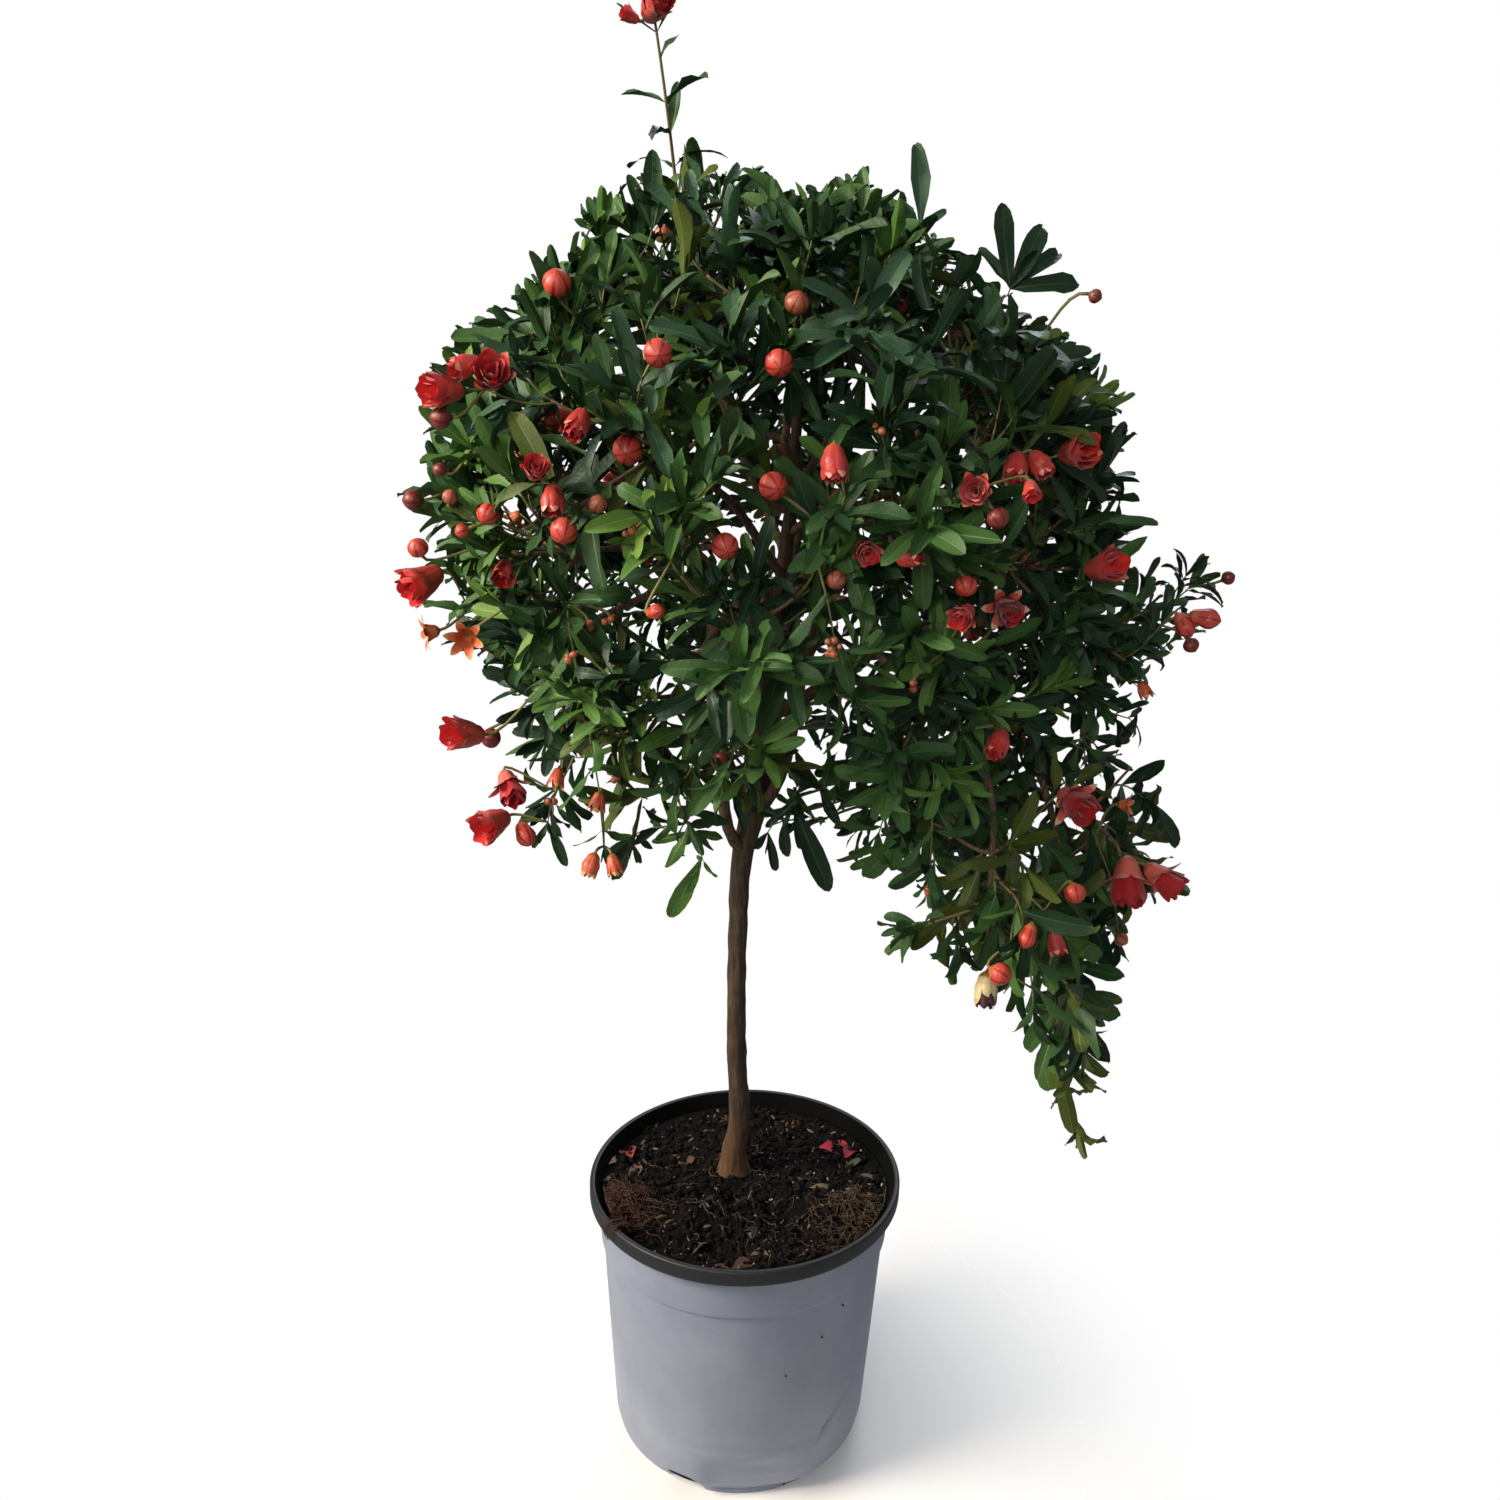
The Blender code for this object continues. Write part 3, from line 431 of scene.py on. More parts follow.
barkLook = {  # colours: base, light streaks, dark splits, lichen, worn near the ground
    "old and weathered": ("#3a2b1b", "#554328", "#20180f", "#4c4535", "#6a4526"),
    "two years old": ("#5a452f", "#776044", "#33271b", "#706655", "#5a452f"),
    "splits": (420, 420, 42), "patches": 60.0,  # per metre: splits of 2.4 x 24 mm, patches of 17 mm
    "wornHeights": (0.215, 0.27), "worn": 0.45,  # from the first height up to the second it fades out
    "roughness": 0.82, "depth": 0.0005,
}
barkRelief = {  # height and size in metres
    "ridges": (0.0018, 0.014), "splits": (0.00020, 0.0032), "swells": (0.0004, 0.030),
    "knots": (0.0007, 0.021), "boughSplits": (0.00022, 0.004), "boughSwells": (0.00035, 0.016),
}


def barkMaterial(age):
    # young pomegranate bark: matt, thin, finely split lengthways, so it looks dull with soft lighter streaks;
    # near the ground it is worn to a warmer tan
    base, light, dark, lichen, low = barkLook[age]
    made = newMaterial(f"Pomegranate bark, {age}", base, barkLook["roughness"])
    tree = made.node_tree
    shader = tree.nodes["Principled BSDF"]
    where = addNode(tree, "TexCoord").outputs["Object"]
    streaks = addNode(tree, "Mapping", None, {"Vector": where, "Scale": barkLook["splits"]})
    splits = addNode(tree, "TexNoise", None, {"Vector": streaks.outputs[0], "Scale": 1.0, "Detail": 6.0,
                                              "Roughness": 0.65})
    patches = addNode(tree, "TexNoise", None, {"Vector": where, "Scale": barkLook["patches"],
                                               "Detail": 3.0})
    ramp = addNode(tree, "ValToRGB", None, {"Fac": splits.outputs[0]})
    ramp.color_ramp.elements.new(0.5)
    for element, place, colour in zip(ramp.color_ramp.elements, (0.34, 0.5, 0.68), (dark, base, light)):
        element.position, element.color = place, (*linear(colour), 1)
    spread = addNode(tree, "MapRange", None, {"Value": patches.outputs[0], "From Min": 0.55, "From Max": 0.72,
                                              "To Max": 0.55})
    mixed = addNode(tree, "Mix", {"data_type": "RGBA"}, {  # 6 and 7 are its colour inputs
        "Factor": spread.outputs[0], 6: ramp.outputs[0], 7: (*linear(lichen), 1)})
    height = addNode(tree, "SeparateXYZ", None, {"Vector": where})
    worn, unworn = barkLook["wornHeights"]
    nearGround = addNode(tree, "MapRange", None, {
        "Value": height.outputs[2], "From Min": worn, "From Max": unworn, "To Min": barkLook["worn"],
        "To Max": 0.0})
    colour = addNode(tree, "Mix", {"data_type": "RGBA"}, {
        "Factor": nearGround.outputs[0], 6: mixed.outputs[2], 7: (*linear(low), 1)})
    tree.links.new(colour.outputs[2], shader.inputs["Base Color"])
    bump = addNode(tree, "Bump", None, {"Height": splits.outputs[0], "Distance": barkLook["depth"],
                                        "Strength": 0.7})
    tree.links.new(bump.outputs[0], shader.inputs["Normal"])
    return made


def makeTrunk():
    # the trunk's line swept round and pushed out by its relief. Root ridges: height x exp(-z / size) x
    # (0.5 + 0.5 cos(3a + 0.7)); splits and swells: height x noise, the splits drawn out lengthways; knots:
    # where the noise passes 0.9.
    def relief(points, out):
        ridges, splits, swells, knots = (barkRelief[k] for k in ("ridges", "splits", "swells", "knots"))
        height = points[..., 2] - trunkShape["foot"][2]
        angle = np.arctan2(out[..., 1], out[..., 0])
        push = ridges[0] * np.exp(-height / ridges[1]) * (0.5 + 0.5 * np.cos(3 * angle + 0.7))
        push = push + splits[0] * waveNoise(points * (1, 1, 0.12), splits[1], 5)
        push = push + swells[0] * waveNoise(points, swells[1], 6)
        push = push + knots[0] * np.maximum(0, waveNoise(points * (1, 1, 0.7), knots[1], 7) - 0.9)
        return out * push[..., None]

    points, faceSets = tubes(trunkLine[None, :, :3], trunkLine[None, :, 3], trunkShape["sides"], relief)
    addPiece("trunkBark", points, faceSets, [barkMaterial("old and weathered")], ("trunk",))


def makeBoughs():
    # the boughs' lines swept round and pushed out by splits and swells
    def relief(points, out):
        splits, swells = barkRelief["boughSplits"], barkRelief["boughSwells"]
        return out * (splits[0] * waveNoise(points * (1, 1, 0.4), splits[1], 8)
                      + swells[0] * waveNoise(points, swells[1], 9))[..., None]

    lines = np.array(list(boughs.values()))
    points, faceSets = tubes(lines[..., :3], lines[..., 3], boughShape["sides"], relief)
    addPiece("boughBark", points, faceSets, [barkMaterial("two years old")], tuple(boughs))


boughs, stems = growBoughs()
makeTrunk()
makeBoughs()

# Twigs, by the source's rule and on to finer ones

longShoots = {  # where the shoots that stand out of the round crown end
    "topmost": (-0.055, 0.004, 1.030), "top left": (-0.050, -0.010, 0.895),
    "top middle": (0.030, 0.020, 0.890), "top right": (0.108, 0.000, 0.895),
    "shoulder right": (0.170, -0.010, 0.855), "shoulder bud": (0.218, 0.000, 0.860),
    "far right": (0.300, -0.010, 0.672), "far left": (-0.182, -0.010, 0.735),
    "left low": (-0.160, -0.010, 0.640), "bottom left": (-0.130, -0.010, 0.545),
    "right bloom": (0.300, 0.000, 0.480), "trailing tip": (0.246, -0.036, 0.285),
    "back high": (-0.030, 0.190, 0.820), "back low": (-0.050, 0.190, 0.590),
}
sparseShoots = ("topmost", "trailing tip")
twigShape = {  # metres, degrees and shares of a line's length; the fine ones are the second twigs
    "startShare": 0.62, "first": 0.12, "last": 0.94, "radii": (0.0015, 0.0009), "points": 13,
    "lean": 0.5, "wander": 0.10, "bow": 0.34, "shorten": 0.8, "shortenings": 5, "leafRoom": 0.026,
    "sideFrom": 0.16, "sideTo": 0.96, "sideSpacing": 0.0130, "sideLength": (0.022, 0.044),
    "sideAngle": 50, "angleSpread": (0.75, 1.2), "outwards": 0.30, "endLength": 0.018,
    "lift": 0.38, "hang": 1.03, "fineRadii": (0.00085, 0.00045), "finePoints": 6,
    "sparsePoints": (3, 5, 7, 9, 11, 12), "seed": 21,
}
crownOutline = (  # the crown's outline in the photograph's pixels, clockwise from the foot of the top shoot
    (632, 130), (602, -70), (722, -70), (740, 100), (752, 152), (780, 188), (862, 172), (905, 182),
    (912, 214), (948, 236), (988, 256), (1004, 298), (1040, 310), (1128, 378), (1142, 430), (1168, 475),
    (1172, 524), (1212, 528), (1256, 562), (1252, 596), (1215, 646), (1162, 660), (1154, 715),
    (1170, 752), (1176, 806), (1196, 862), (1184, 900), (1140, 915), (1132, 945), (1112, 1000),
    (1096, 1035), (1134, 1078), (1114, 1122), (1100, 1195), (1046, 1195), (1046, 1120), (1030, 1062),
    (1000, 1022), (948, 978), (884, 952), (876, 905), (892, 866), (862, 884), (832, 900), (808, 852),
    (770, 868), (716, 850), (704, 928), (664, 930), (672, 868), (612, 884), (572, 884), (556, 856),
    (496, 862), (470, 800), (448, 742), (452, 706), (486, 684), (480, 656), (410, 648), (398, 575),
    (400, 480), (422, 440), (422, 385), (448, 322), (516, 292), (540, 252), (590, 196), (640, 136),
)


def inOutline(points):
    # True inside the crown's outline: a level line from there crosses it an odd number of times
    x, y = np.moveaxis(pixelsOf(points), -1, 0)
    corners = np.array(crownOutline, float)
    crossings = np.zeros(x.shape, int)
    for (x0, y0), (x1, y1) in zip(corners, np.roll(corners, -1, axis=0)):
        spans = (y0 > y) != (y1 > y)
        crossings += spans & (x < x0 + (x1 - x0) * (y - y0) / (y1 - y0 if y1 != y0 else 1))
    return crossings % 2 == 1


def weight(points):
    # how far a point belongs to the weeping side, from 0 in the round crown to 1
    x, _, z = points.T
    return rampUp(x, *crownShape["weepingRight"]) * rampUp(z, *crownShape["weepingBelow"])


def tufted(ways):
    # share of the crown's radius that the twigs reach: broad tufts and dips, and finer ones
    broad, fine = crownShape["tufts"]
    x, y, z = ways.T
    return (crownShape["twigReach"] + broad * np.sin(5 * x + 2) * np.cos(4 * z + 1)
            + fine * np.sin(9 * y + 6 * x))


def twigTips():
    # where the twigs end: a ring round each mass's middle, the weeping masses' own, and the long shoots
    ways = []
    for middle in crownWays:
        angles = 2 * np.pi * np.arange(crownShape["ringTwigs"]) / crownShape["ringTwigs"]
        ring = around(middle, (angles + crownShape["ringTurn"] * middle[2])[:, None])
        ways.append(np.concatenate([middle[None], unit(middle + ring * crownShape["ringSpread"])]))
    ways = np.concatenate(ways)
    tips = [crownCentre + ways * (crownShape["radius"] * tufted(ways))[:, None]]
    for seed, _, reach in weeping.values():
        tips.append(np.array(seed) + spreadWays(boughShape["weepingTwigs"], -1.0) * reach)
    tips.append(np.array(list(longShoots.values())))
    sparse = np.zeros(sum(map(len, tips)), bool)
    for name in sparseShoots:
        sparse[len(sparse) - len(longShoots) + list(longShoots).index(name)] = True
    return np.concatenate(tips), sparse


def growTwigs():
    # first twigs: from their mass's stem to their tip, bowed a little
    tips, sparse = twigTips()
    begin, way, length, seed = (np.array(part) for part in zip(*stems))
    mass = np.linalg.norm(tips[:, None] - seed, axis=-1).argmin(1)
    begin, way, length = begin[mass], way[mass], length[mass]
    share = ((tips - begin) * way).sum(-1) / length * twigShape["startShare"]
    start = begin + way * (length * np.clip(share, twigShape["first"], twigShape["last"]))[:, None]
    share = np.ones(len(tips))
    for _ in range(twigShape["shortenings"]):  # where the tip would stand out of the crown's outline
        leafEnd = start + (tips - start) * share[:, None] + unit(tips - start) * twigShape["leafRoom"]
        share = np.where(inOutline(leafEnd) | sparse, share, share * twigShape["shorten"])
    tips = start + (tips - start) * share[:, None]
    reach = np.linalg.norm(tips - start, axis=-1)[:, None]
    axis = unit(tips - start)
    draw = np.random.default_rng(twigShape["seed"])
    wander = draw.normal(size=(len(tips), 3)) * twigShape["wander"]
    lines = bezier(start, start + unit(axis + way * twigShape["lean"] + wander) * reach * twigShape["bow"],
                   tips - unit(axis + wander[::-1]) * reach * twigShape["bow"], tips, twigShape["points"])
    return lines, sparse


def growSideTwigs(lines, sparse):
    # second twigs: stepped along each first twig, turned by the golden angle, and one on from its tip
    draw = np.random.default_rng(twigShape["seed"] + 1)
    starts, ways, lengths, share = [], [], [], []
    for line, bare in zip(lines, sparse):
        steps = np.linalg.norm(np.diff(line, axis=0), axis=1)
        along = np.concatenate([[0], np.cumsum(steps)])
        length = along[-1]
        first = length * twigShape["sideFrom"]
        count = 0 if bare else max(3, int((length - first) / twigShape["sideSpacing"]))
        at = np.linspace(first, length * twigShape["sideTo"], count) if count else np.zeros(0)
        place = between(at, along, line)
        ahead = unit(line[-1] - line[0])
        out = around(ahead, (draw.uniform(0, 6.28) + golden * np.arange(count))[:, None])
        angle = np.radians(twigShape["sideAngle"]) * draw.uniform(*twigShape["angleSpread"], (count, 1))
        outwards = unit(place - crownCentre)
        way = unit(ahead * np.cos(angle) + out * np.sin(angle) + outwards * twigShape["outwards"])
        starts.append(np.concatenate([place, line[-1:]]))
        ways.append(np.concatenate([way, unit(line[-1:] - line[-3:-2])]))
        size = draw.uniform(*twigShape["sideLength"], count)
        lengths.append(np.concatenate([size, [0.0 if bare else twigShape["endLength"]]]))
        share.append(np.concatenate([at / length, [1.0]]))
    starts, ways, lengths, share = (np.concatenate(parts) for parts in (starts, ways, lengths, share))
    keep = lengths > 0
    return starts[keep], ways[keep], lengths[keep], share[keep]


def bowed(starts, ways, lengths):
    # second twigs' lines: those of the round crown turn upwards, the weeping ones hang
    lift = np.array([0, 0, 1.0]) * (twigShape["lift"] - twigShape["hang"] * weight(starts)[:, None])
    ends = starts + unit(ways + lift) * lengths[:, None]
    return bezier(starts, starts + ways * lengths[:, None] * 0.4,
                  ends - unit(ways + lift * 1.6) * lengths[:, None] * 0.3, ends, twigShape["finePoints"])


shootFall = {"standing": -0.35, "hanging": 0.4, "low": 0.3}  # share of the length; below 0 it ends upwards
hangingShoots = (  # thin shoots before the crown: pixels where they start and end, metres before the trunk
    ((618, 628), (604, 846), 0.125), ((912, 610), (930, 884), 0.110), ((840, 560), (834, 652), 0.190),
    ((1078, 760), (1118, 934), 0.050),
)
standingShoots = (  # those that stand out of its top, given in the same way, and where their leaves end
    ((985, 325), (1010, 289), 0.0,
     ((985, 240), (1000, 203), (1052, 213), (1070, 238), (1085, 275), (1040, 246))),
    ((905, 262), (920, 230), 0.02, ((922, 136), (948, 206), (900, 196))),
    ((640, 270), (652, 230), 0.04, ((626, 176), (652, 150), (674, 172))),
    ((714, 240), (720, 202), 0.0, ((768, 170), (744, 150), (694, 166))),
    ((600, 262), (600, 238), 0.03, ((588, 196), (614, 190))),
    ((848, 232), (852, 210), 0.0, ((838, 172), (868, 166))),
)
lowShoots = (  # those whose leaves hang below its middle, given in the same way
    ((715, 826), (702, 858), 0.03, ((668, 922), (688, 896))),
    ((786, 788), (794, 806), 0.03, ((827, 890), (806, 856))),
    ((900, 806), (905, 830), 0.03, ((863, 882), (892, 872))),
    ((764, 818), (768, 832), 0.03, ((776, 872), (750, 858))),
    ((560, 800), (548, 822), 0.05, ((566, 866), (530, 852))),
    ((640, 820), (632, 842), 0.05, ((612, 884), (644, 872))),
)


def growShoots(shoots, tips, fall):
    # from the nearest second twig's tip to the shoot's end, where it points straight down or up
    made = []
    for first, last, front, *_ in shoots:
        start, end = atDepth([first, last], front)
        start = tips[np.linalg.norm(tips - start, axis=1).argmin()]
        drop = np.linalg.norm(end - start) * fall
        made.append(bezier(start, start + (0, -0.3 * drop, -0.2 * drop), end + (0, 0, drop), end,
                           twigShape["finePoints"]))
    return np.array(made)


thinning = {  # share of second twigs left out: on the weeping side, and, from a distance or height and over
    # so many metres, round the crown's edge, at the weeping side's low end and left under the crown's top
    "weeping": 0.16, "edge": (0.45, 0.22, 0.04), "lowEnd": (0.66, 0.40, -0.04),
    "left": (0.24, 0.13, 0.05), "leftBelow": (0.80, -0.08), "leftOf": 0.08,
}


def growFineTwigs():
    # second twigs, shortened or left out where their last leaves would leave the outline, and thinned out;
    # then the shoots placed from the photograph, and the sparse ones, whose leaves sit on the first twig
    starts, ways, full, shares = growSideTwigs(twigLines, twigSparse)
    lengths = np.zeros(len(full))
    for share in (0.35, 0.55, 0.78, 1.0):
        tips = starts + unit(ways) * (full * share + twigShape["leafRoom"])[:, None]
        lengths = np.where(inOutline(tips), full * share, lengths)
    away = np.linalg.norm(starts - crownCentre, axis=1)
    hang = weight(starts)
    x, _, z = starts.T
    edge, lowEnd, left = (thinning[part][0] * rampUp(values, *thinning[part][1:])
                          for part, values in (("edge", away), ("lowEnd", z), ("left", away)))
    left = left * rampUp(z, *thinning["leftBelow"]) * (x < thinning["leftOf"])
    thinned = edge * (1 - hang) + thinning["weeping"] * hang + lowEnd + left
    keep = (lengths > 0) & (np.random.default_rng(twigShape["seed"] + 2).uniform(size=len(away)) > thinned)
    lines = bowed(starts[keep], ways[keep], lengths[keep])
    tips = lines[:, -1]
    groups = [  # lines, how far along their twig they sit, sparse leaves
        (lines, shares[keep], False),
        (growShoots(standingShoots, tips, shootFall["standing"]), 0.5, True),
        (twigLines[twigSparse][:, twigShape["sparsePoints"]], 0.5, True),
        (growShoots(hangingShoots, tips, shootFall["hanging"]), 0.95, True),
        (growShoots(lowShoots, tips, shootFall["low"]), 0.5, True),
    ]
    groups, shares, sparse = zip(*groups)
    counts = [len(group) for group in groups]
    shares = np.concatenate([np.full(count, share) for count, share in zip(counts, shares)])
    return np.concatenate(groups), shares, np.repeat(sparse, counts)


twigLines, twigSparse = growTwigs()
fineLines, fineShares, fineSparse = growFineTwigs()
print("grown:", len(twigLines), "twigs and", len(fineLines), "finer ones")

# Blossom: places first, because leaves make room for it

photoBlooms = {  # kind: (pixel x, pixel y, width in pixels, degrees from the right, facing the viewer)
    "bright bud": (
        (557, 283, 27, 80, .5), (658, 353, 28, -70, .8), (628, 450, 30, -100, .8), (779, 363, 27, -80, .7),
        (773, 486, 28, -20, .7), (725, 546, 27, -60, .7), (564, 531, 27, -90, .6), (488, 514, 22, -120, .5),
        (966, 586, 22, -90, .6), (1075, 893, 21, -80, .5), (1000, 974, 23, -20, .4),
        (418, 548, 20, 100, .4), (462, 531, 14, 200, .3),
    ),
    "pale bud": (
        (797, 303, 24, 70, .5), (598, 504, 19, 60, .5), (836, 580, 20, -120, .6), (450, 497, 15, 60, .4),
        (1121, 939, 14, -30, .3), (778, 454, 20, 60, .4),
    ),
    "dark bud": (
        (441, 418, 21, 180, .3), (413, 500, 20, 180, .2), (998, 518, 22, -60, .5), (1095, 296, 13, -20, .1),
        (491, 738, 20, 0, .4), (1191, 645, 15, -60, .3), (1228, 578, 13, 30, .3), (440, 470, 14, 150, .2),
        (721, 758, 14, -90, .5),
    ),
    "closed calyx": (
        (1205, 618, 20, -10, .3), (1184, 625, 18, -60, .3), (525, 834, 20, -50, .5),
        (1028, 936, 18, -120, .4), (655, 612, 16, 20, .5),
    ),
    "bell": (
        (557, 778, 20, -100, .4), (598, 802, 20, -100, .3), (591, 865, 23, -110, .3), (614, 865, 20, -75, .3),
        (1144, 690, 17, -70, .3),
    ),
    "tulip": (
        (834, 463, 33, -90, .3), (553, 500, 29, -90, .4), (578, 424, 30, -110, .5), (1016, 468, 29, -110, .5),
        (1040, 464, 26, -60, .4), (1056, 943, 22, -80, .4), (464, 366, 28, 200, .4), (910, 558, 24, 20, .4),
        (998, 744, 28, -120, .5),
    ),
    "coral flower": (
        (1077, 452, 38, 20, .7), (975, 491, 34, 160, .8), (866, 551, 28, -60, .8), (1104, 567, 38, 30, .6),
        (964, 615, 30, -150, .6), (492, 375, 40, 60, .7), (443, 390, 38, 180, .5), (422, 582, 42, 210, .5),
        (504, 572, 26, -90, .6), (535, 470, 28, 60, .6), (464, 734, 38, 160, .5), (493, 823, 38, 190, .6),
        (655, 5, 34, 40, .6), (630, 16, 16, 160, .4), (1031, 490, 20, -90, .5),
    ),
    "scarlet flower": (
        (1006, 609, 40, -60, .8), (510, 788, 38, -60, .45), (1075, 803, 46, -30, .7),
        (1128, 882, 50, -95, .4), (1164, 880, 42, -35, .4),
    ),
    "star": ((431, 632, 34, 190, .3), (466, 638, 34, -60, .9), (1125, 805, 22, 0, .4)),
    "wilted": ((986, 990, 27, -95, .3),),
    "cluster": (
        (631, 528, 9, 80, .6), (588, 625, 8, -90, .5), (612, 620, 8, -60, .6), (570, 659, 8, -120, .5),
        (832, 657, 9, -90, .6), (835, 642, 8, 60, .5), (914, 687, 8, -90, .6), (930, 890, 8, -90, .4),
        (550, 804, 8, -100, .5), (613, 779, 8, -80, .5), (702, 430, 8, 60, .6), (880, 430, 8, 30, .6),
    ),
}
bloomShape = {  # metres, and for the forms shares of their width
    "stalkReach": 0.030, "beforeTwig": 0.010, "elsewhere": 58, "apart": 0.035, "backwards": 0.36,
    "outermost": 0.17, "nod": 0.7, "clearance": 0.62, "frontTo": 0.10, "segments": 6, "budSides": 48,
    "budRows": 13, "clusterBuds": 4, "tubeLength": 0.80, "lobeLength": 0.62, "lobesClosed": -38,
    "lobesOpen": 100, "lobesVary": 14, "lobeTips": 30, "stalkRadii": (0.0007, 0.0011),
    "stalkPoints": 7, "stalkSides": 6, "seed": 5,
}
petalWhorls = (  # petals, their shares of the bell's width and height, and degrees that half a petal spans
    (4, 1.0, 1.0, 56), (3, 0.68, 1.10, 72), (3, 0.38, 1.04, 80),
)
bloomKinds = {  # palette, width in metres and odds where the photograph doesn't show, and for an open one how
    # far the lobes turn out, how far the petals open and how many widths they stand out
    "bright bud": ("bright", 0.016, 8, None), "pale bud": ("pale", 0.014, 4, None),
    "dark bud": ("dark", 0.011, 3, None), "closed calyx": ("bright", 0.012, 3, None),
    "bell": ("orange", 0.013, 3, (0.34, 0.0, 0.30)), "tulip": ("rose", 0.017, 5, (0.30, 0.15, 0.62)),
    "coral flower": ("coral", 0.024, 6, (0.48, 0.40, 0.72)),
    "scarlet flower": ("scarlet", 0.028, 4, (0.88, 0.42, 1.0)),
    "star": ("spent", 0.020, 2, (0.92, 0, 0)), "wilted": ("wilted", 0.018, 0, (0.24, 0.1, 0.72)),
    "cluster": ("brown", 0.006, 4, None),
}


def placeFromPhoto():
    # along each sight line, the foremost twig near it carries the blossom, which hangs just before it
    tips = fineLines[:, [3, 5]].reshape(-1, 3)  # each fine twig's middle and tip
    made = []
    for kind, entries in photoBlooms.items():
        for x, y, width, pointing, facing in entries:
            ray = sightRays([(x, y)])[0]
            depth, apart = fromSightLine(tips, ray)
            near = np.flatnonzero(apart < max(bloomShape["stalkReach"], apart.min() * 1.2))
            best = near[(depth + 3 * apart)[near].argmin()]
            turned = math.radians(pointing)
            flat = np.array([math.cos(turned), 0, math.sin(turned)])
            axis = unit(flat * (1 - facing) + np.array([0, -1.0, 0]) * facing)
            middle = eye + ray * (depth[best] - bloomShape["beforeTwig"])
            made.append((kind, middle, axis, width * depth[best] / pixelsPerUnit, tips[best]))
    return made


def placeElsewhere(taken):
    # on the sides that the photograph doesn't show: twig tips by a seeded draw, kept apart from each other
    draw = np.random.default_rng(bloomShape["seed"])
    kinds = [kind for kind, (_, _, odds, _) in bloomKinds.items() for _ in range(odds)]
    used = [place for _, place, _, _, _ in taken]
    made = []
    away = fineLines[:, -1] - crownCentre
    far = np.linalg.norm(away, axis=1)
    back = (away[:, 1] > bloomShape["backwards"] * far) & (far > bloomShape["outermost"])
    for k in draw.permutation(np.flatnonzero(back)):
        if len(made) == bloomShape["elsewhere"]:
            break
        tip, outwards = fineLines[k, -1], away[k] / far[k]
        kind = kinds[draw.integers(len(kinds))]
        size = bloomKinds[kind][1] * draw.uniform(0.85, 1.15)
        axis = unit(outwards + np.array([0, 0, -bloomShape["nod"]]) + draw.normal(size=3) * 0.3)
        middle = tip + axis * size * 0.6
        if np.linalg.norm(np.array(used) - middle, axis=1).min() < bloomShape["apart"]:
            continue
        used.append(middle)
        made.append((kind, middle, axis, size, tip))
    return made


blooms = placeFromPhoto()
blooms += placeElsewhere(blooms)
print("blossom places:", len(blooms))

bloomColours = {  # palette: skin, seams of a bud or lobe tips of a flower, base, petals
    "bright": ("#c04638", "#94241c", "#b8603c", "#d01c26"),
    "pale": ("#a85a44", "#80402e", "#80603a", "#c84438"),
    "dark": ("#7a2c26", "#5a1e1a", "#6f4230", "#501618"),
    "rose": ("#b23c34", "#d8907a", "#b04c34", "#b81a1c"),
    "coral": ("#c24a3e", "#d48a70", "#bc5a38", "#d2221c"),
    "scarlet": ("#d4685a", "#e0aa92", "#c05c42", "#b00d18"),
    "orange": ("#c05638", "#d09058", "#a85a2c", "#b8382a"),
    "spent": ("#cc6a40", "#d89062", "#b85c30", "#b8482a"),
    "brown": ("#a0583a", "#8a4a30", "#8c5c36", "#8c3424"),
    "wilted": ("#cdb988", "#c2a06a", "#a87a40", "#3c1418"),
}
roundBud = (  # height and radius, in widths
    (0, .09), (.07, .13), (.15, .30), (.30, .45), (.50, .5), (.70, .455), (.86, .31), (.96, .15), (1, .05),
)
longBud = (
    (0, .12), (.12, .26), (.30, .34), (.55, .40), (.85, .5), (1.1, .45), (1.3, .28), (1.42, .12), (1.45, .04),
)


def budForm(profile):
    # a closed bud, one unit wide: the profile turned round, pressed in along six seams by |cos 3a|^20
    sides, heights = bloomShape["budSides"], bloomShape["budRows"]
    share, radius = np.array(profile).T
    t = np.linspace(0, 1, heights) ** 0.9
    angle = 2 * np.pi * np.arange(sides) / sides
    seam = np.abs(np.cos(bloomShape["segments"] / 2 * angle)) ** 20
    r = np.interp(t, share / share[-1], radius)[:, None] * (1 - 0.06 * seam * np.sin(np.pi * t)[:, None])
    z = share[-1] * t[:, None] + 0 * angle
    points = np.stack([r * np.cos(angle), r * np.sin(angle), z], -1).reshape(-1, 3)
    zone = np.zeros((heights - 1, sides), int)
    zone[:, (seam + np.roll(seam, -1)) > 0.9] = 1
    zone[:3] = 2
    caps = np.stack([np.arange(sides)[::-1], np.arange(sides) + sides * (heights - 1)])
    return points, [gridFaces(1, heights, sides, closed=True), caps], np.concatenate([zone.ravel(), [2, 1]])


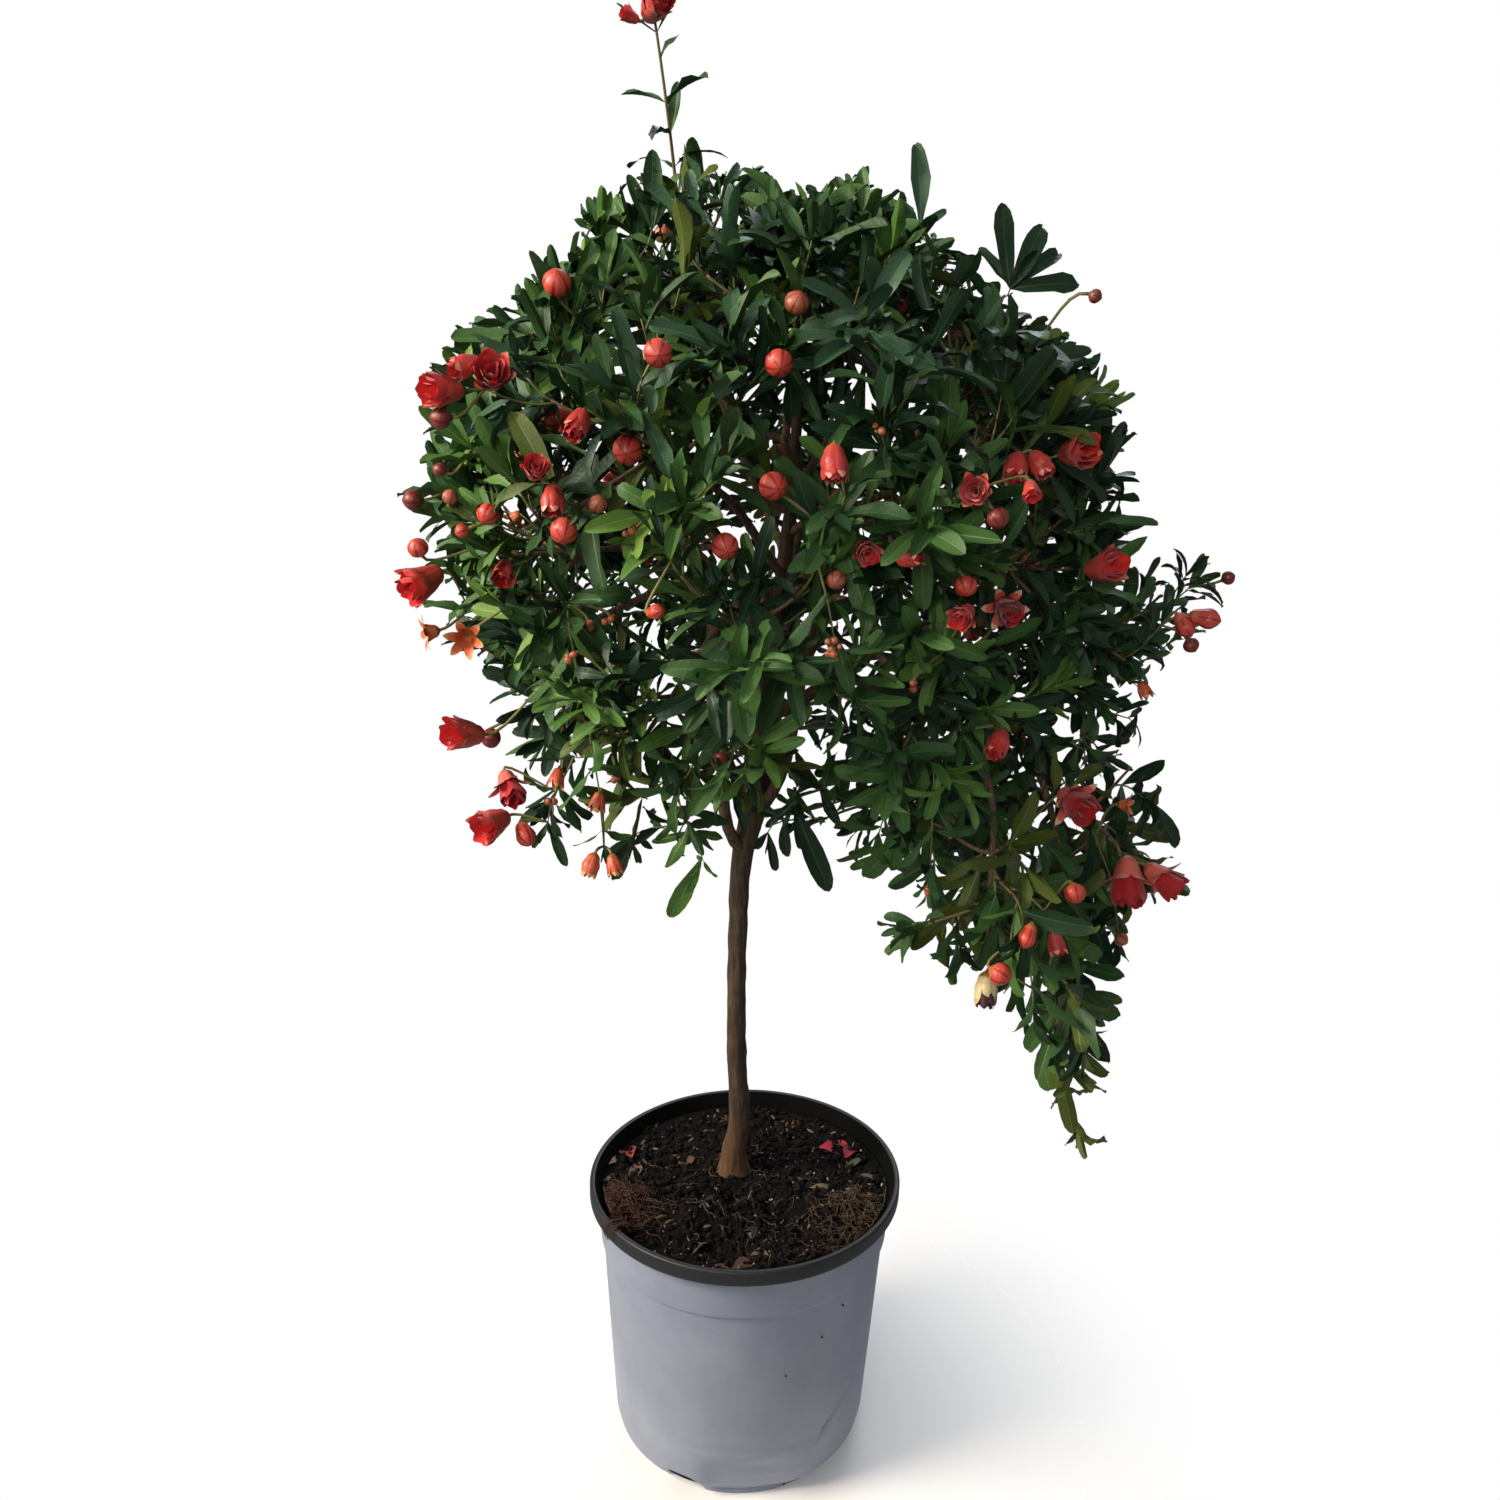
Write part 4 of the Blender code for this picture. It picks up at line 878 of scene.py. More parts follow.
def calyxForm(opening, draw):
    # six lobes on a tube one unit wide at its mouth. The tube's radius runs through a swollen base to the
    # mouth; each lobe then stands out by lobesClosed + lobesOpen x opening degrees, and by lobeTips x opening
    # more towards its tip, and narrows as (1 - u^2)^0.6.
    rows, columns, lobes = 12, 7, bloomShape["segments"]
    t = np.linspace(0, 1, rows)
    mouth = bloomShape["tubeLength"] / (bloomShape["tubeLength"] + bloomShape["lobeLength"])
    tube = t <= mouth
    u = rampUp(t, mouth, 1 - mouth)
    tubeRadius = np.interp(t / mouth, (0, 0.12, 0.30, 0.50, 0.75, 1), (0.10, 0.24, 0.35, 0.37, 0.45, 0.5))
    points = []
    for k in range(lobes):
        vary = draw.uniform(-bloomShape["lobesVary"], bloomShape["lobesVary"])
        turn = math.radians(bloomShape["lobesClosed"] + bloomShape["lobesOpen"] * opening + vary)
        turn = turn + math.radians(bloomShape["lobeTips"]) * opening * u
        step = np.gradient(u) * bloomShape["lobeLength"]
        radius = np.where(tube, tubeRadius, 0.5 + np.cumsum(step * np.sin(turn)) * ~tube)
        radius = np.maximum(radius, 0.06)
        z = np.where(tube, bloomShape["tubeLength"] * t / mouth,
                     bloomShape["tubeLength"] + np.cumsum(step * np.cos(turn)) * ~tube)
        half = np.where(tube, radius * np.pi / lobes, 0.5 * np.pi / lobes * np.maximum(1 - u**2, 0.02) ** 0.6)
        across = np.linspace(-1, 1, columns)
        angle = 2 * np.pi * k / lobes + half[:, None] * across / radius[:, None]
        r = radius[:, None] + 0.035 * (1 - across**2) * np.sin(np.pi * t)[:, None]
        points.append(np.stack([r * np.cos(angle), r * np.sin(angle), z[:, None] + 0 * angle], -1))
    zone = np.zeros((lobes, rows - 1, columns - 1), int)
    zone[:, -2:] = 1
    zone[:, :2] = 2
    return np.concatenate(points).reshape(-1, 3), [gridFaces(lobes, rows, columns)], zone.ravel()


def petalForm(opening, reach, draw):
    # broad satin petals in three whorls, like a half-open rose: each is a piece of a bell that stands out of
    # the calyx's mouth. Its radius at height s is share x (0.34 + (0.2 + 0.6 opening) s^1.3 - closing s^4);
    # one edge of each petal lies inside its neighbour's, and the upper edge is rounded and a little crumpled.
    rows, columns = 8, 9
    t, across = np.linspace(0, 1, rows)[:, None], np.linspace(-1, 1, columns)
    closing = 0.24 * (1 - opening)
    parts = []
    for count, share, tall, half in petalWhorls:
        for k in range(count):
            phase = draw.uniform(0, 6.28, 3)
            edge = 1 - 0.24 * across**2 + 0.04 * np.sin(6 * across + phase[0])
            s = t * edge
            radius = share * (0.34 + (0.20 + 0.60 * opening) * s**1.3 - closing * s**4)
            radius = radius + 0.03 * across + 0.045 * s * np.sin(5 * across + 4 * s + phase[1])
            z = 0.55 * bloomShape["tubeLength"] + s * tall * (0.45 * bloomShape["tubeLength"] + reach)
            z = z * draw.uniform(0.94, 1.04) + 0.03 * s * np.sin(7 * across + phase[2])
            angle = 2 * np.pi * (k + draw.uniform(-0.12, 0.12)) / count + 5 * share
            angle = angle + math.radians(half) * across * (1 - 0.12 * s)
            parts.append(np.stack([radius * np.cos(angle), radius * np.sin(angle), z], -1))
    points = np.concatenate(parts).reshape(-1, 3)
    faces = gridFaces(len(parts), rows, columns)
    return points, [faces], np.full(len(faces), 3)


def bloomForms(kind, draw):
    # the forms of one blossom and the width of their unit as a share of its own width
    if kind == "closed calyx":
        return [budForm(longBud)], 1.0
    if "bud" in kind:
        return [budForm(roundBud)], 1.0
    if kind == "cluster":
        one, faces, zone = budForm(roundBud)
        count = bloomShape["clusterBuds"]
        places = draw.normal(size=(count, 3)) * (0.42, 0.42, 0.35)
        points = np.concatenate([one * draw.uniform(0.7, 1.1) + place for place in places])
        sets = [part + k * len(one) for k in range(count) for part in faces]
        return [(points, sets, np.tile(zone, count))], 1.0
    opening, petals, reach = bloomKinds[kind][3]
    opening = opening * draw.uniform(0.85, 1.15)
    forms = [calyxForm(opening, draw)]
    if reach:
        forms.append(petalForm(petals, reach * draw.uniform(0.9, 1.15), draw))
    return forms, 1 / (1 + opening)


def makeBlossom():
    # each blossom's forms set at its place, and a stalk that bends from its twig to its base
    draw = np.random.default_rng(bloomShape["seed"] + 1)
    palettes = list(bloomColours)
    skins = []
    for name, (skin, seam, base, petal) in bloomColours.items():
        # the calyx is thick and waxy, which gives it a soft shine; the petals are thin and matt as silk
        for part, colour in (("skin", skin), ("seams", seam), ("base", base)):
            skins.append(newMaterial(f"Pomegranate calyx, waxy, {name} {part}", colour, 0.42,
                                     grain=0.0012, relief=0.0002))
        skins.append(newMaterial(f"Pomegranate petal, {name}", petal, 0.62, Sheen_Weight=0.25))
    made, stalks = {"buds": [], "flowers": []}, []
    for kind, middle, axis, width, twig in blooms:
        palette, _, _, opening = bloomKinds[kind]
        forms, share = bloomForms(kind, draw)
        unitWidth = width * share
        right = around(axis, draw.uniform(0, 2 * np.pi))
        tall = max(points[:, 2].max() for points, _, _ in forms)
        base = middle - axis * tall / 2 * unitWidth
        for points, faceSets, zone in forms:
            placed = base + (points @ np.stack([right, np.cross(axis, right), axis])) * unitWidth
            tones = zone + 4 * palettes.index(palette)
            made["flowers" if opening else "buds"].append((placed, faceSets, tones))
        hang = np.linalg.norm(base - twig) * 0.3
        stalks.append(bezier(twig, twig + unit(base - twig + np.array([0, 0, 0.3]) * hang) * hang,
                             base - axis * hang, base + axis * 0.0005, bloomShape["stalkPoints"]))
    for name, parts in made.items():
        points, faceSets = joined([(points, sets) for points, sets, _ in parts])
        tones = np.concatenate([zone for _, _, zone in parts])
        addPiece(name, points, faceSets, skins, (), tones)
    radii = np.linspace(*bloomShape["stalkRadii"], bloomShape["stalkPoints"])[None].repeat(len(stalks), 0)
    points, faceSets = tubes(np.array(stalks), radii, bloomShape["stalkSides"])
    # stalks are smooth and tough, duller than the calyx
    stalk = newMaterial("Pomegranate flower stalk, green-brown", "#6d6a38", 0.6)
    addPiece("flowerStalks", points, faceSets, [stalk])


makeBlossom()

# Leaves

leafShape = {  # metres, degrees and shares of the length
    "length": (0.033, 0.052), "width": 0.270, "widthSpread": (0.80, 1.15), "rib": 0.045,
    "fold": 27, "foldSpread": (0.2, 1.7), "bend": (0.48, 0.50), "wave": (0.005, 0.055),
    "pairFrom": 0.005, "pairSpacing": 0.0088, "pairAngle": 50, "pairSpread": (0.7, 1.25),
    "tipLeaves": 3, "tipAngle": (8, 32), "tipSize": 0.86, "smallest": 0.72, "largestMore": 0.36,
    "sparseSpacing": 0.018, "sparseSize": 0.98, "sparseTipSize": 0.5, "weepingSpacing": 0.25,
    "weepingWidth": 0.22, "edgeSmaller": (0.25, 0.21, 0.05), "lowSmaller": (0.16, 0.76, -0.12),
    "skywards": 0.55, "towardsViewer": (0.15, -0.9, 0.4), "insideOutline": 0.92,
    "bareBelow": 0.475, "bareRoom": 0.03, "seed": 33,
}
leafRows = np.array([0.0, 0.07, 0.19, 0.36, 0.55, 0.74, 0.89, 0.97, 1.0])  # from the stalk to the tip


def leaning(ahead, out, angle):
    # which way leaves grow and face that lean out from their twig by this angle
    return ahead * np.cos(angle) + out * np.sin(angle), ahead * np.sin(angle) - out * np.cos(angle)


def leafPlaces(lines):
    # opposite pairs stepped along each second twig, each turned a right angle from the last, and a tip tuft
    draw = np.random.default_rng(leafShape["seed"])
    lengths = np.linalg.norm(np.diff(lines, axis=1), axis=-1).sum(1)
    spacing = np.where(fineSparse, leafShape["sparseSpacing"], leafShape["pairSpacing"])
    spacing = (spacing * (1 + leafShape["weepingSpacing"] * weight(lines[:, 0])))[:, None]
    most = int(((lengths - leafShape["pairFrom"]) / spacing[:, 0]).max()) + 1
    at = leafShape["pairFrom"] + spacing * (np.arange(most) + draw.uniform(-0.18, 0.18, (len(lines), most)))
    twig, pair = np.nonzero(at < lengths[:, None] - 0.002)
    position = at[twig, pair] / lengths[twig] * (lines.shape[1] - 1)
    low = np.clip(position.astype(int), 0, lines.shape[1] - 2)
    part = (position - low)[:, None]
    root = lines[twig, low] * (1 - part) + lines[twig, low + 1] * part
    ahead = unit(lines[twig, low + 1] - lines[twig, low])
    turn = draw.uniform(0, 6.28, len(lines))[twig] + pair * np.pi / 2 + draw.normal(0, 0.2, len(twig))
    out = around(ahead, turn[:, None])
    size = np.sin(np.pi * np.clip(at[twig, pair] / lengths[twig], 0, 1) ** 0.8)
    size = leafShape["smallest"] + leafShape["largestMore"] * size
    size = size * np.where(fineSparse[twig], leafShape["sparseSize"], 1.0)
    places = []
    for sign in (1, -1):
        angle = np.radians(leafShape["pairAngle"]) * draw.uniform(*leafShape["pairSpread"], (len(twig), 1))
        places.append((root, *leaning(ahead, out * sign, angle), size, twig))
    ahead = unit(lines[:, -1] - lines[:, -2])
    first = draw.uniform(0, 6.28, len(lines))
    size = np.where(fineSparse, leafShape["sparseTipSize"], leafShape["tipSize"])
    for k in range(leafShape["tipLeaves"]):
        out = around(ahead, (first + 2 * np.pi * k / leafShape["tipLeaves"])[:, None])
        angle = np.radians(draw.uniform(*leafShape["tipAngle"], (len(lines), 1)))
        places.append((lines[:, -1], *leaning(ahead, out, angle), size, np.arange(len(lines))))
    root, along, face, size, twig = (np.concatenate(parts) for parts in zip(*places))
    along = unit(along + draw.normal(0, 0.10, along.shape))
    face = unit(face + np.array([0, 0, leafShape["skywards"]]) + draw.normal(0, 0.25, along.shape))
    (edge, *edgeRamp), (low, *lowRamp) = leafShape["edgeSmaller"], leafShape["lowSmaller"]
    away = np.linalg.norm(root - crownCentre, axis=1)
    smaller = edge * rampUp(away, *edgeRamp) + low * rampUp(root[:, 2], *lowRamp)
    smaller = 1 - smaller * (1 - weight(root))
    length = draw.uniform(*leafShape["length"], len(root)) * size * smaller
    return root, along, face, length, twig


def shootLeaves():
    # the leaves that end at the pixels given with a standing or low shoot, their faces turned to the viewer
    places = []
    for _, last, front, ends in standingShoots + lowShoots:
        root = atDepth([last], front)
        reach = atDepth(ends, front) - root
        twig = np.linalg.norm(fineLines[:, -1] - root, axis=1).argmin()
        face = np.full(reach.shape, leafShape["towardsViewer"])
        places.append((root.repeat(len(ends), 0), unit(reach), face, np.linalg.norm(reach, axis=1),
                       np.full(len(ends), twig)))
    return [np.concatenate(parts) for parts in zip(*places)]


def leafPoints(root, along, face, length, draw, slenderness, folding):
    # grid of 9 rows and 4 columns. Half width: 0.07 + 1.75 t^0.9 from the stalk, at most 1, and past the
    # middle times (1 - u^3)^0.55, which gives the blunt tip. The midline bends back as a circle's arc, and
    # the two halves fold up from a flat rib.
    t = leafRows
    past = rampUp(t, 0.55, 0.45)
    outline = np.clip(0.07 + 1.75 * t**0.9, 0, 1) * (1 - past**3) ** 0.55
    half = length[:, None] * slenderness / 2 * np.maximum(outline, 0.04)
    half = half * draw.uniform(*leafShape["widthSpread"], (len(root), 1))
    rib = np.minimum(length[:, None] * leafShape["rib"] / 4 * (1.15 - t), half * 0.6)
    bend = draw.normal(*leafShape["bend"], (len(root), 1))
    bend = np.where(np.abs(bend) < 0.02, 0.02, bend)
    forward = length[:, None] * np.sin(bend * t) / bend
    drop = -length[:, None] * (1 - np.cos(bend * t)) / bend
    fold = np.radians(folding) * draw.uniform(*leafShape["foldSpread"], (len(root), 1))
    phase = draw.uniform(0, 1, (len(root), 1))
    wave = draw.uniform(*leafShape["wave"], (len(root), 1)) * length[:, None]
    wave = wave * np.sin(2 * np.pi * (1.7 * t + phase))
    sideways = np.stack([-half * np.cos(fold), -rib, rib, half * np.cos(fold)], -1)
    rise = np.stack([half * np.sin(fold) + wave, 0 * half, 0 * half, half * np.sin(fold) - wave], -1)
    lean = (bend * t)[..., None]
    shape = np.stack([sideways, forward[..., None] + rise * np.sin(lean),
                      drop[..., None] + rise * np.cos(lean)], -1)
    return framed(shape.reshape(len(root), -1, 3), root, along, face)


def clearOfBlooms(root, along, length):
    # False for a leaf that runs through a blossom, or that would hide one from the photograph's viewpoint
    keep = np.ones(len(root), bool)
    for _, middle, _, size, _ in blooms:
        ray = unit(middle - eye)
        front = middle[1] < bloomShape["frontTo"]
        for share in (0.25, 0.5, 0.75, 1.0):
            spot = root + along * (length * share)[:, None]
            keep &= np.linalg.norm(spot - middle, axis=1) > size * 0.5
            if front:
                depth, apart = fromSightLine(spot, ray)
                keep &= (depth >= (middle - eye) @ ray) | (apart >= size * bloomShape["clearance"])
    return keep


def clearOfTrunk(root, along, length):
    # False for a leaf that reaches the bare trunk below the crown
    keep = np.ones(len(root), bool)
    for share in (0.0, 0.35, 0.7, 1.0):
        spot = root + along * (length * share)[:, None]
        apart = np.linalg.norm(spot[:, :2] - onTrunk(spot[:, 2])[:, :2], axis=1)
        keep &= (spot[:, 2] > leafShape["bareBelow"]) | (apart > leafShape["bareRoom"])
    return keep


leafTones = {  # blade, rib and the blade's roughness, in shade and sun, old and young; the darkest is painted shade, the bluest a painted sky sheen
    "Deep": ("#1d3420", "#2d492a", 0.43), "Dark": ("#2f4c29", "#416236", 0.45),
    "Mid": ("#3b5b2c", "#4f713a", 0.47), "Cool": ("#36533a", "#486649", 0.46),
    "Olive": ("#475422", "#5c6a30", 0.50), "Fresh": ("#4a6d31", "#618440", 0.47),
    "Young": ("#628239", "#7c9a4c", 0.50),
}
toneOdds = {  # odds of these tones, in their order, in each part of the plant
    "round crown": (0.20, 0.30, 0.28, 0.00, 0.10, 0.09, 0.03),
    "weeping side": (0.08, 0.22, 0.26, 0.00, 0.34, 0.08, 0.02),
    "twig ends": (0.00, 0.00, 0.05, 0.00, 0.03, 0.14, 0.07),
    # painted shade: leaves on the right and low down, in the crown's shadow, get mostly the darkest tone
    "right": (0.85, 0.20, 0.00, 0.00, 0.00, 0.00, 0.00),
    "low down": (0.30, 0.16, 0.00, 0.00, 0.00, 0.00, 0.00),
    # painted sky sheen: leaves on top get mostly the bluest tone
    "top": (0.00, 0.05, 0.08, 0.60, 0.00, 0.04, 0.00),
}


def dealTones(places, shares, draw):
    # a tone for each spray: darker at the right and low down, as painted shade, bluer on top, as a painted
    # sky sheen, olive on the weeping side, and young at some twigs' ends
    names = list(leafTones)
    hang, height = weight(places)[:, None], places[:, 2:]
    part = {  # how far each place belongs to each part
        "round crown": 1 - hang, "weeping side": hang,
        "twig ends": (shares[:, None] > 0.9) * (1 - 0.8 * hang),
        # the right and low-down parts deal painted shade, the top part a painted sky sheen
        "right": rampUp(places[:, :1], 0.07, 0.10) * (1 - 0.6 * hang),
        "low down": rampUp(height, 0.70, -0.15), "top": rampUp(height, 0.76, 0.08),
    }
    odds = sum(np.array(toneOdds[name]) * share for name, share in part.items())
    odds = np.cumsum(odds / odds.sum(1, keepdims=True), axis=1)
    chosen = (draw.uniform(0, 1, (len(shares), 1)) > odds).sum(1)
    return np.array(names)[np.clip(chosen, 0, len(names) - 1)]


def makeLeaves():
    # one piece for each tone; the first of them replaces all the source's masses
    draw = np.random.default_rng(leafShape["seed"] + 1)
    tones = dealTones(fineLines[:, 0], fineShares, draw)
    root, along, face, length, twig = leafPlaces(fineLines)
    keep = clearOfBlooms(root, along, length) & clearOfTrunk(root, along, length)
    keep &= inOutline(root + along * length[:, None] * leafShape["insideOutline"])
    root, along, face, length, twig = (
        np.concatenate([part[keep], more])
        for part, more in zip((root, along, face, length, twig), shootLeaves()))
    foliage = [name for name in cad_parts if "foliage" in name]
    ribColumn = np.tile(np.array([0, 1, 0]), len(leafRows) - 1)
    for k, (name, (blade, rib, gloss)) in enumerate(leafTones.items()):
        mine = tones[twig] == name
        count = int(mine.sum())
        slenderness = leafShape["width"] * (1 + leafShape["weepingWidth"] * weight(root[mine]))[:, None]
        points = leafPoints(root[mine], along[mine], face[mine], length[mine], draw, slenderness,
                            leafShape["fold"])
        # pomegranate leaf: a thin waxy skin over soft green, so it shines softly and its rib stands out pale
        # the darkest tone's material is painted shade and the bluest tone's a painted sky sheen, not the
        # leaves' own greens
        surface = newMaterial(f"Pomegranate leaf, waxy, {name.lower()} green", blade, gloss,
                              grain=0.0022, relief=0.0004, Specular_IOR_Level=0.20)
        midrib = newMaterial(f"Pomegranate leaf rib, {name.lower()} green", rib, 0.5)
        addPiece(f"leaves{name}", points.reshape(-1, 3), [gridFaces(count, len(leafRows), 4)],
                 [surface, midrib], tuple(foliage) if k == 0 else (), np.tile(ribColumn, count))
    print("leaves:", len(root))


makeLeaves()

twigKinds = {  # key of the radii in twigShape, sides, material, colour, roughness
    "twigs": ("radii", 6, "Pomegranate twig, one year old", "#6b5a3c", 0.7),
    "fineTwigs": ("fineRadii", 5, "Pomegranate twig, this year's", "#6f6f3d", 0.55),
}


def makeTwigs():
    # twigs a year old are woody and dull; this year's are green and a little smoother
    for (name, (radii, sides, kind, colour, roughness)), lines in zip(twigKinds.items(),
                                                                      (twigLines, fineLines)):
        count, rings, _ = lines.shape
        thickness = np.linspace(*twigShape[radii], rings)[None].repeat(count, 0)
        points, faceSets = tubes(lines, thickness, sides)
        bark = newMaterial(kind, colour, roughness, grain=0.0015, relief=0.0004)
        addPiece(name, points, faceSets, [bark])


makeTwigs()

# Pot

potShape = {  # metres, as in the source
    "height": 0.223, "rim": 0.120, "rimDepth": 0.012, "collar": 0.1135, "collarDepth": 0.033,
    "stepInset": 0.0020, "base": 0.1000, "cornerHeight": 0.024, "foot": 0.087, "footHeight": 0.0075,
    "corner": ((0.0065, 0.001), (0.002, 0.0075)),  # in from the base's radius and above the foot
    "wall": 0.002, "rimWidth": 0.0042, "floor": 0.0055, "middle": 0.003, "rounding": 0.0006,
    "rimRounding": 0.0018, "notches": 4, "firstNotch": -112, "notchRadius": 0.0042, "notchLength": 0.016,
    "sides": 300, "step": 0.0035, "innerStep": 0.012,
}
potMarks = {
    "pressedIn": {  # degrees round and height of the middle, spread of both, depth, rise per degree, power
        "dent": (-86, 0.023, 19, 0.017, 0.0062, 0, 4),
        "crease": (-47, 0.058, 9, 0.0022, 0.0024, 0.0016, 2),
        "ring": (-98, 0.052, 38, 0.0022, 0.0013, 0, 2),
    },
    "outOfRound": 0.0007, "wallFrom": -0.004,  # metres; the marks reach this far inside the foot's edge
    "lean": -0.0055,  # metres that the base stands to the left of the rim
    "raised": (-117, 8, 0.014, 0.022),  # the corner over one drain notch: degrees, spread, lift, height
}


def rounded(profile, radius, count=5):
    # each corner replaced by points of a parabola that starts and ends `radius` away or at 0.45 of a side
    made = [profile[:1]]
    t = np.linspace(0, 1, count)[:, None]
    for before, corner, after in zip(profile, profile[1:], profile[2:]):
        ends = []
        for other in (before, after):
            away = other - corner
            ends.append(corner + away * min(radius / np.linalg.norm(away), 0.45))
        made.append((1 - t) ** 2 * ends[0] + 2 * t * (1 - t) * corner + t * t * ends[1])
    return np.concatenate([*made, profile[-1:]])


def spaced(profile, step):
    # points added so that none are further apart than step
    made = [profile[:1]]
    for start, end in zip(profile, profile[1:]):
        count = max(1, math.ceil(np.linalg.norm(end - start) / step))
        made.append(start + (end - start) * np.linspace(0, 1, count + 1)[1:, None])
    return np.concatenate(made)


def turned(profile, sides):
    # rings round Z: (r cos a, r sin a, z), with a cap at each end; returns the grid of points and the faces
    angles = 2 * np.pi * np.arange(sides) / sides
    r, z = profile.T
    grid = np.stack([r[:, None] * np.cos(angles), r[:, None] * np.sin(angles), z[:, None] + 0 * angles], -1)
    ring = np.arange(sides)
    caps = np.stack([ring[::-1], ring + sides * (len(profile) - 1)])
    return grid, [gridFaces(1, len(profile), sides, closed=True), caps]


def potProfile():
    # the outside from the middle of the base up to the rim, then the inside down to the middle of the floor
    p = potShape
    under = p["height"] - p["rimDepth"]
    slope = (p["collar"] - p["base"]) / (under - p["cornerHeight"])
    atStep = p["collar"] - slope * p["collarDepth"]
    step = under - p["collarDepth"]
    foot = [(p["middle"], 0), (p["foot"], 0), (p["foot"], p["footHeight"])]
    corner = [(p["base"] - inwards, p["footHeight"] + up) for inwards, up in p["corner"]]
    corner.append((p["base"], p["cornerHeight"]))
    side = [(atStep - p["stepInset"], step - p["stepInset"]), (atStep, step), (p["collar"], under)]
    rim = [(p["rim"], under), (p["rim"], p["height"]), (p["rim"] - p["rimWidth"], p["height"]),
           (p["collar"] - p["wall"], under)]
    inside = [(r - p["wall"], z + p["wall"] / 2) for r, z in reversed(corner)]
    floor = [(p["foot"] - p["wall"], p["floor"]), (p["middle"], p["floor"])]
    return np.array(foot + corner + side), np.array(rim), np.array(inside + floor)


def markPot(points, outside):
    # moves the pot's points for its marks, its drain notches and its lean; outside is True for the rows of
    # the body's outside
    angle = np.degrees(np.arctan2(points[..., 1], points[..., 0]))
    radius, z = np.hypot(points[..., 0], points[..., 1]), points[..., 2]
    fromFoot = radius - potShape["foot"]

    # each mark presses the wall in by depth x exp(-(height off its line / spread)^p - (degrees / spread)^p)
    pressed = 0
    for turn, height, wide, tall, depth, slope, power in potMarks["pressedIn"].values():
        off = (z - height) - (angle - turn) * slope
        pressed = pressed + depth * np.exp(-(off / tall) ** power - ((angle - turn) / wide) ** power)
    middle = potMarks["outOfRound"] * np.sin(np.pi * np.clip(z / potShape["height"], 0, 1))
    warp = middle * (np.sin(np.radians(2 * angle + 40)) + 0.5 * np.sin(np.radians(5 * angle)))
    atWall = fromFoot > potMarks["wallFrom"]
    points[..., :2] *= (1 + atWall * (warp - pressed) / np.maximum(radius, 0.01))[..., None]

    # drain notches: half round channels in the foot's edge
    spread = 360 / potShape["notches"]
    fromNotch = (angle - potShape["firstNotch"] + spread / 2) % spread - spread / 2
    across = np.radians(fromNotch) * radius / potShape["notchRadius"]
    arch = potShape["notchRadius"] * np.sqrt(np.clip(1 - across**2, 0, 1))
    atFoot = (z < potShape["footHeight"] * 0.6) & (fromFoot > -potShape["notchLength"])
    points[..., 2] = np.where(atFoot & outside, np.maximum(z, arch), z)
    turn, width, lift, height = potMarks["raised"]
    raised = np.exp(-((angle - turn) / width) ** 4) * np.clip(1 - z / height, 0, 1) * outside
    points[..., 2] += lift * raised * atWall
    points[..., 0] += potMarks["lean"] * (1 - z / potShape["height"])


def potMaterials():
    # moulded polypropylene: matt enough that it shows broad soft shine and no reflections, a little dusty
    grey = newMaterial("Polypropylene, moulded, pale lavender grey, dusty", "#8c92a2", 0.46, 0.0030, 0.00012)
    tree = grey.node_tree
    where = addNode(tree, "TexCoord").outputs["Object"]
    dust = addNode(tree, "TexNoise", None, {"Vector": where, "Scale": 14.0, "Detail": 5.0,  # 71 mm
                                            "Roughness": 0.6})
    ramp = addNode(tree, "ValToRGB", None, {"Fac": dust.outputs[0]})
    for element, place, colour in zip(ramp.color_ramp.elements, (0.30, 0.75), ("#828a9c", "#979dae")):
        element.position, element.color = place, (*linear(colour), 1)
    tree.links.new(ramp.outputs[0], tree.nodes["Principled BSDF"].inputs["Base Color"])
    charcoal = newMaterial("Polypropylene, moulded, charcoal", "#1d1f22", 0.5, 0.0025, 0.00015)
    # painted shade: the inside is the pot's own charcoal darkened to near black, as it lies in shadow
    dusty = newMaterial("Polypropylene, moulded, charcoal, painted shade inside", "#060605", 0.9,
                        Specular_IOR_Level=0.1)
    return [grey, charcoal, dusty]


def makePot():
    # the profile turned round and marked; the body is grey, the rim charcoal and the inside charcoal darkened
    # to near black as painted shade
    body, rim, inside = potProfile()
    body = spaced(rounded(body, potShape["rounding"]), potShape["step"])
    rim = rounded(np.concatenate([body[-1:], rim]), potShape["rimRounding"])
    rim = spaced(rim, potShape["step"])[1:]
    inside = spaced(np.concatenate([rim[-1:], inside]), potShape["innerStep"])[1:]
    profile = np.concatenate([body, rim, inside])
    points, faceSets = turned(profile, potShape["sides"])
    markPot(points, np.arange(len(profile))[:, None] < len(body))
    row = np.arange(len(profile) - 1).repeat(potShape["sides"])
    topEdge = np.flatnonzero(profile[:, 1] > potShape["height"] - 0.0005).max()
    tones = np.concatenate([(row >= len(body) - 1).astype(int) + (row >= topEdge), [0, 2]])
    addPiece("potShell", points.reshape(-1, 3), faceSets, potMaterials(), ("pot",), tones)


speckShape = {
    "pixels": ((786, 1376), (822, 1337), (843, 1305), (838, 1271), (632, 1432), (784, 1484), (716, 1414)),
    "line": ((-0.0007, 0, 0.0005), (0, -0.0004, 0), (0.0008, 0, -0.0004)),
    "radii": (0.0004, 0.0008, 0.0003), "sides": 7, "depths": (0.6, 1.3, 1400), "sunk": 0.002,
}


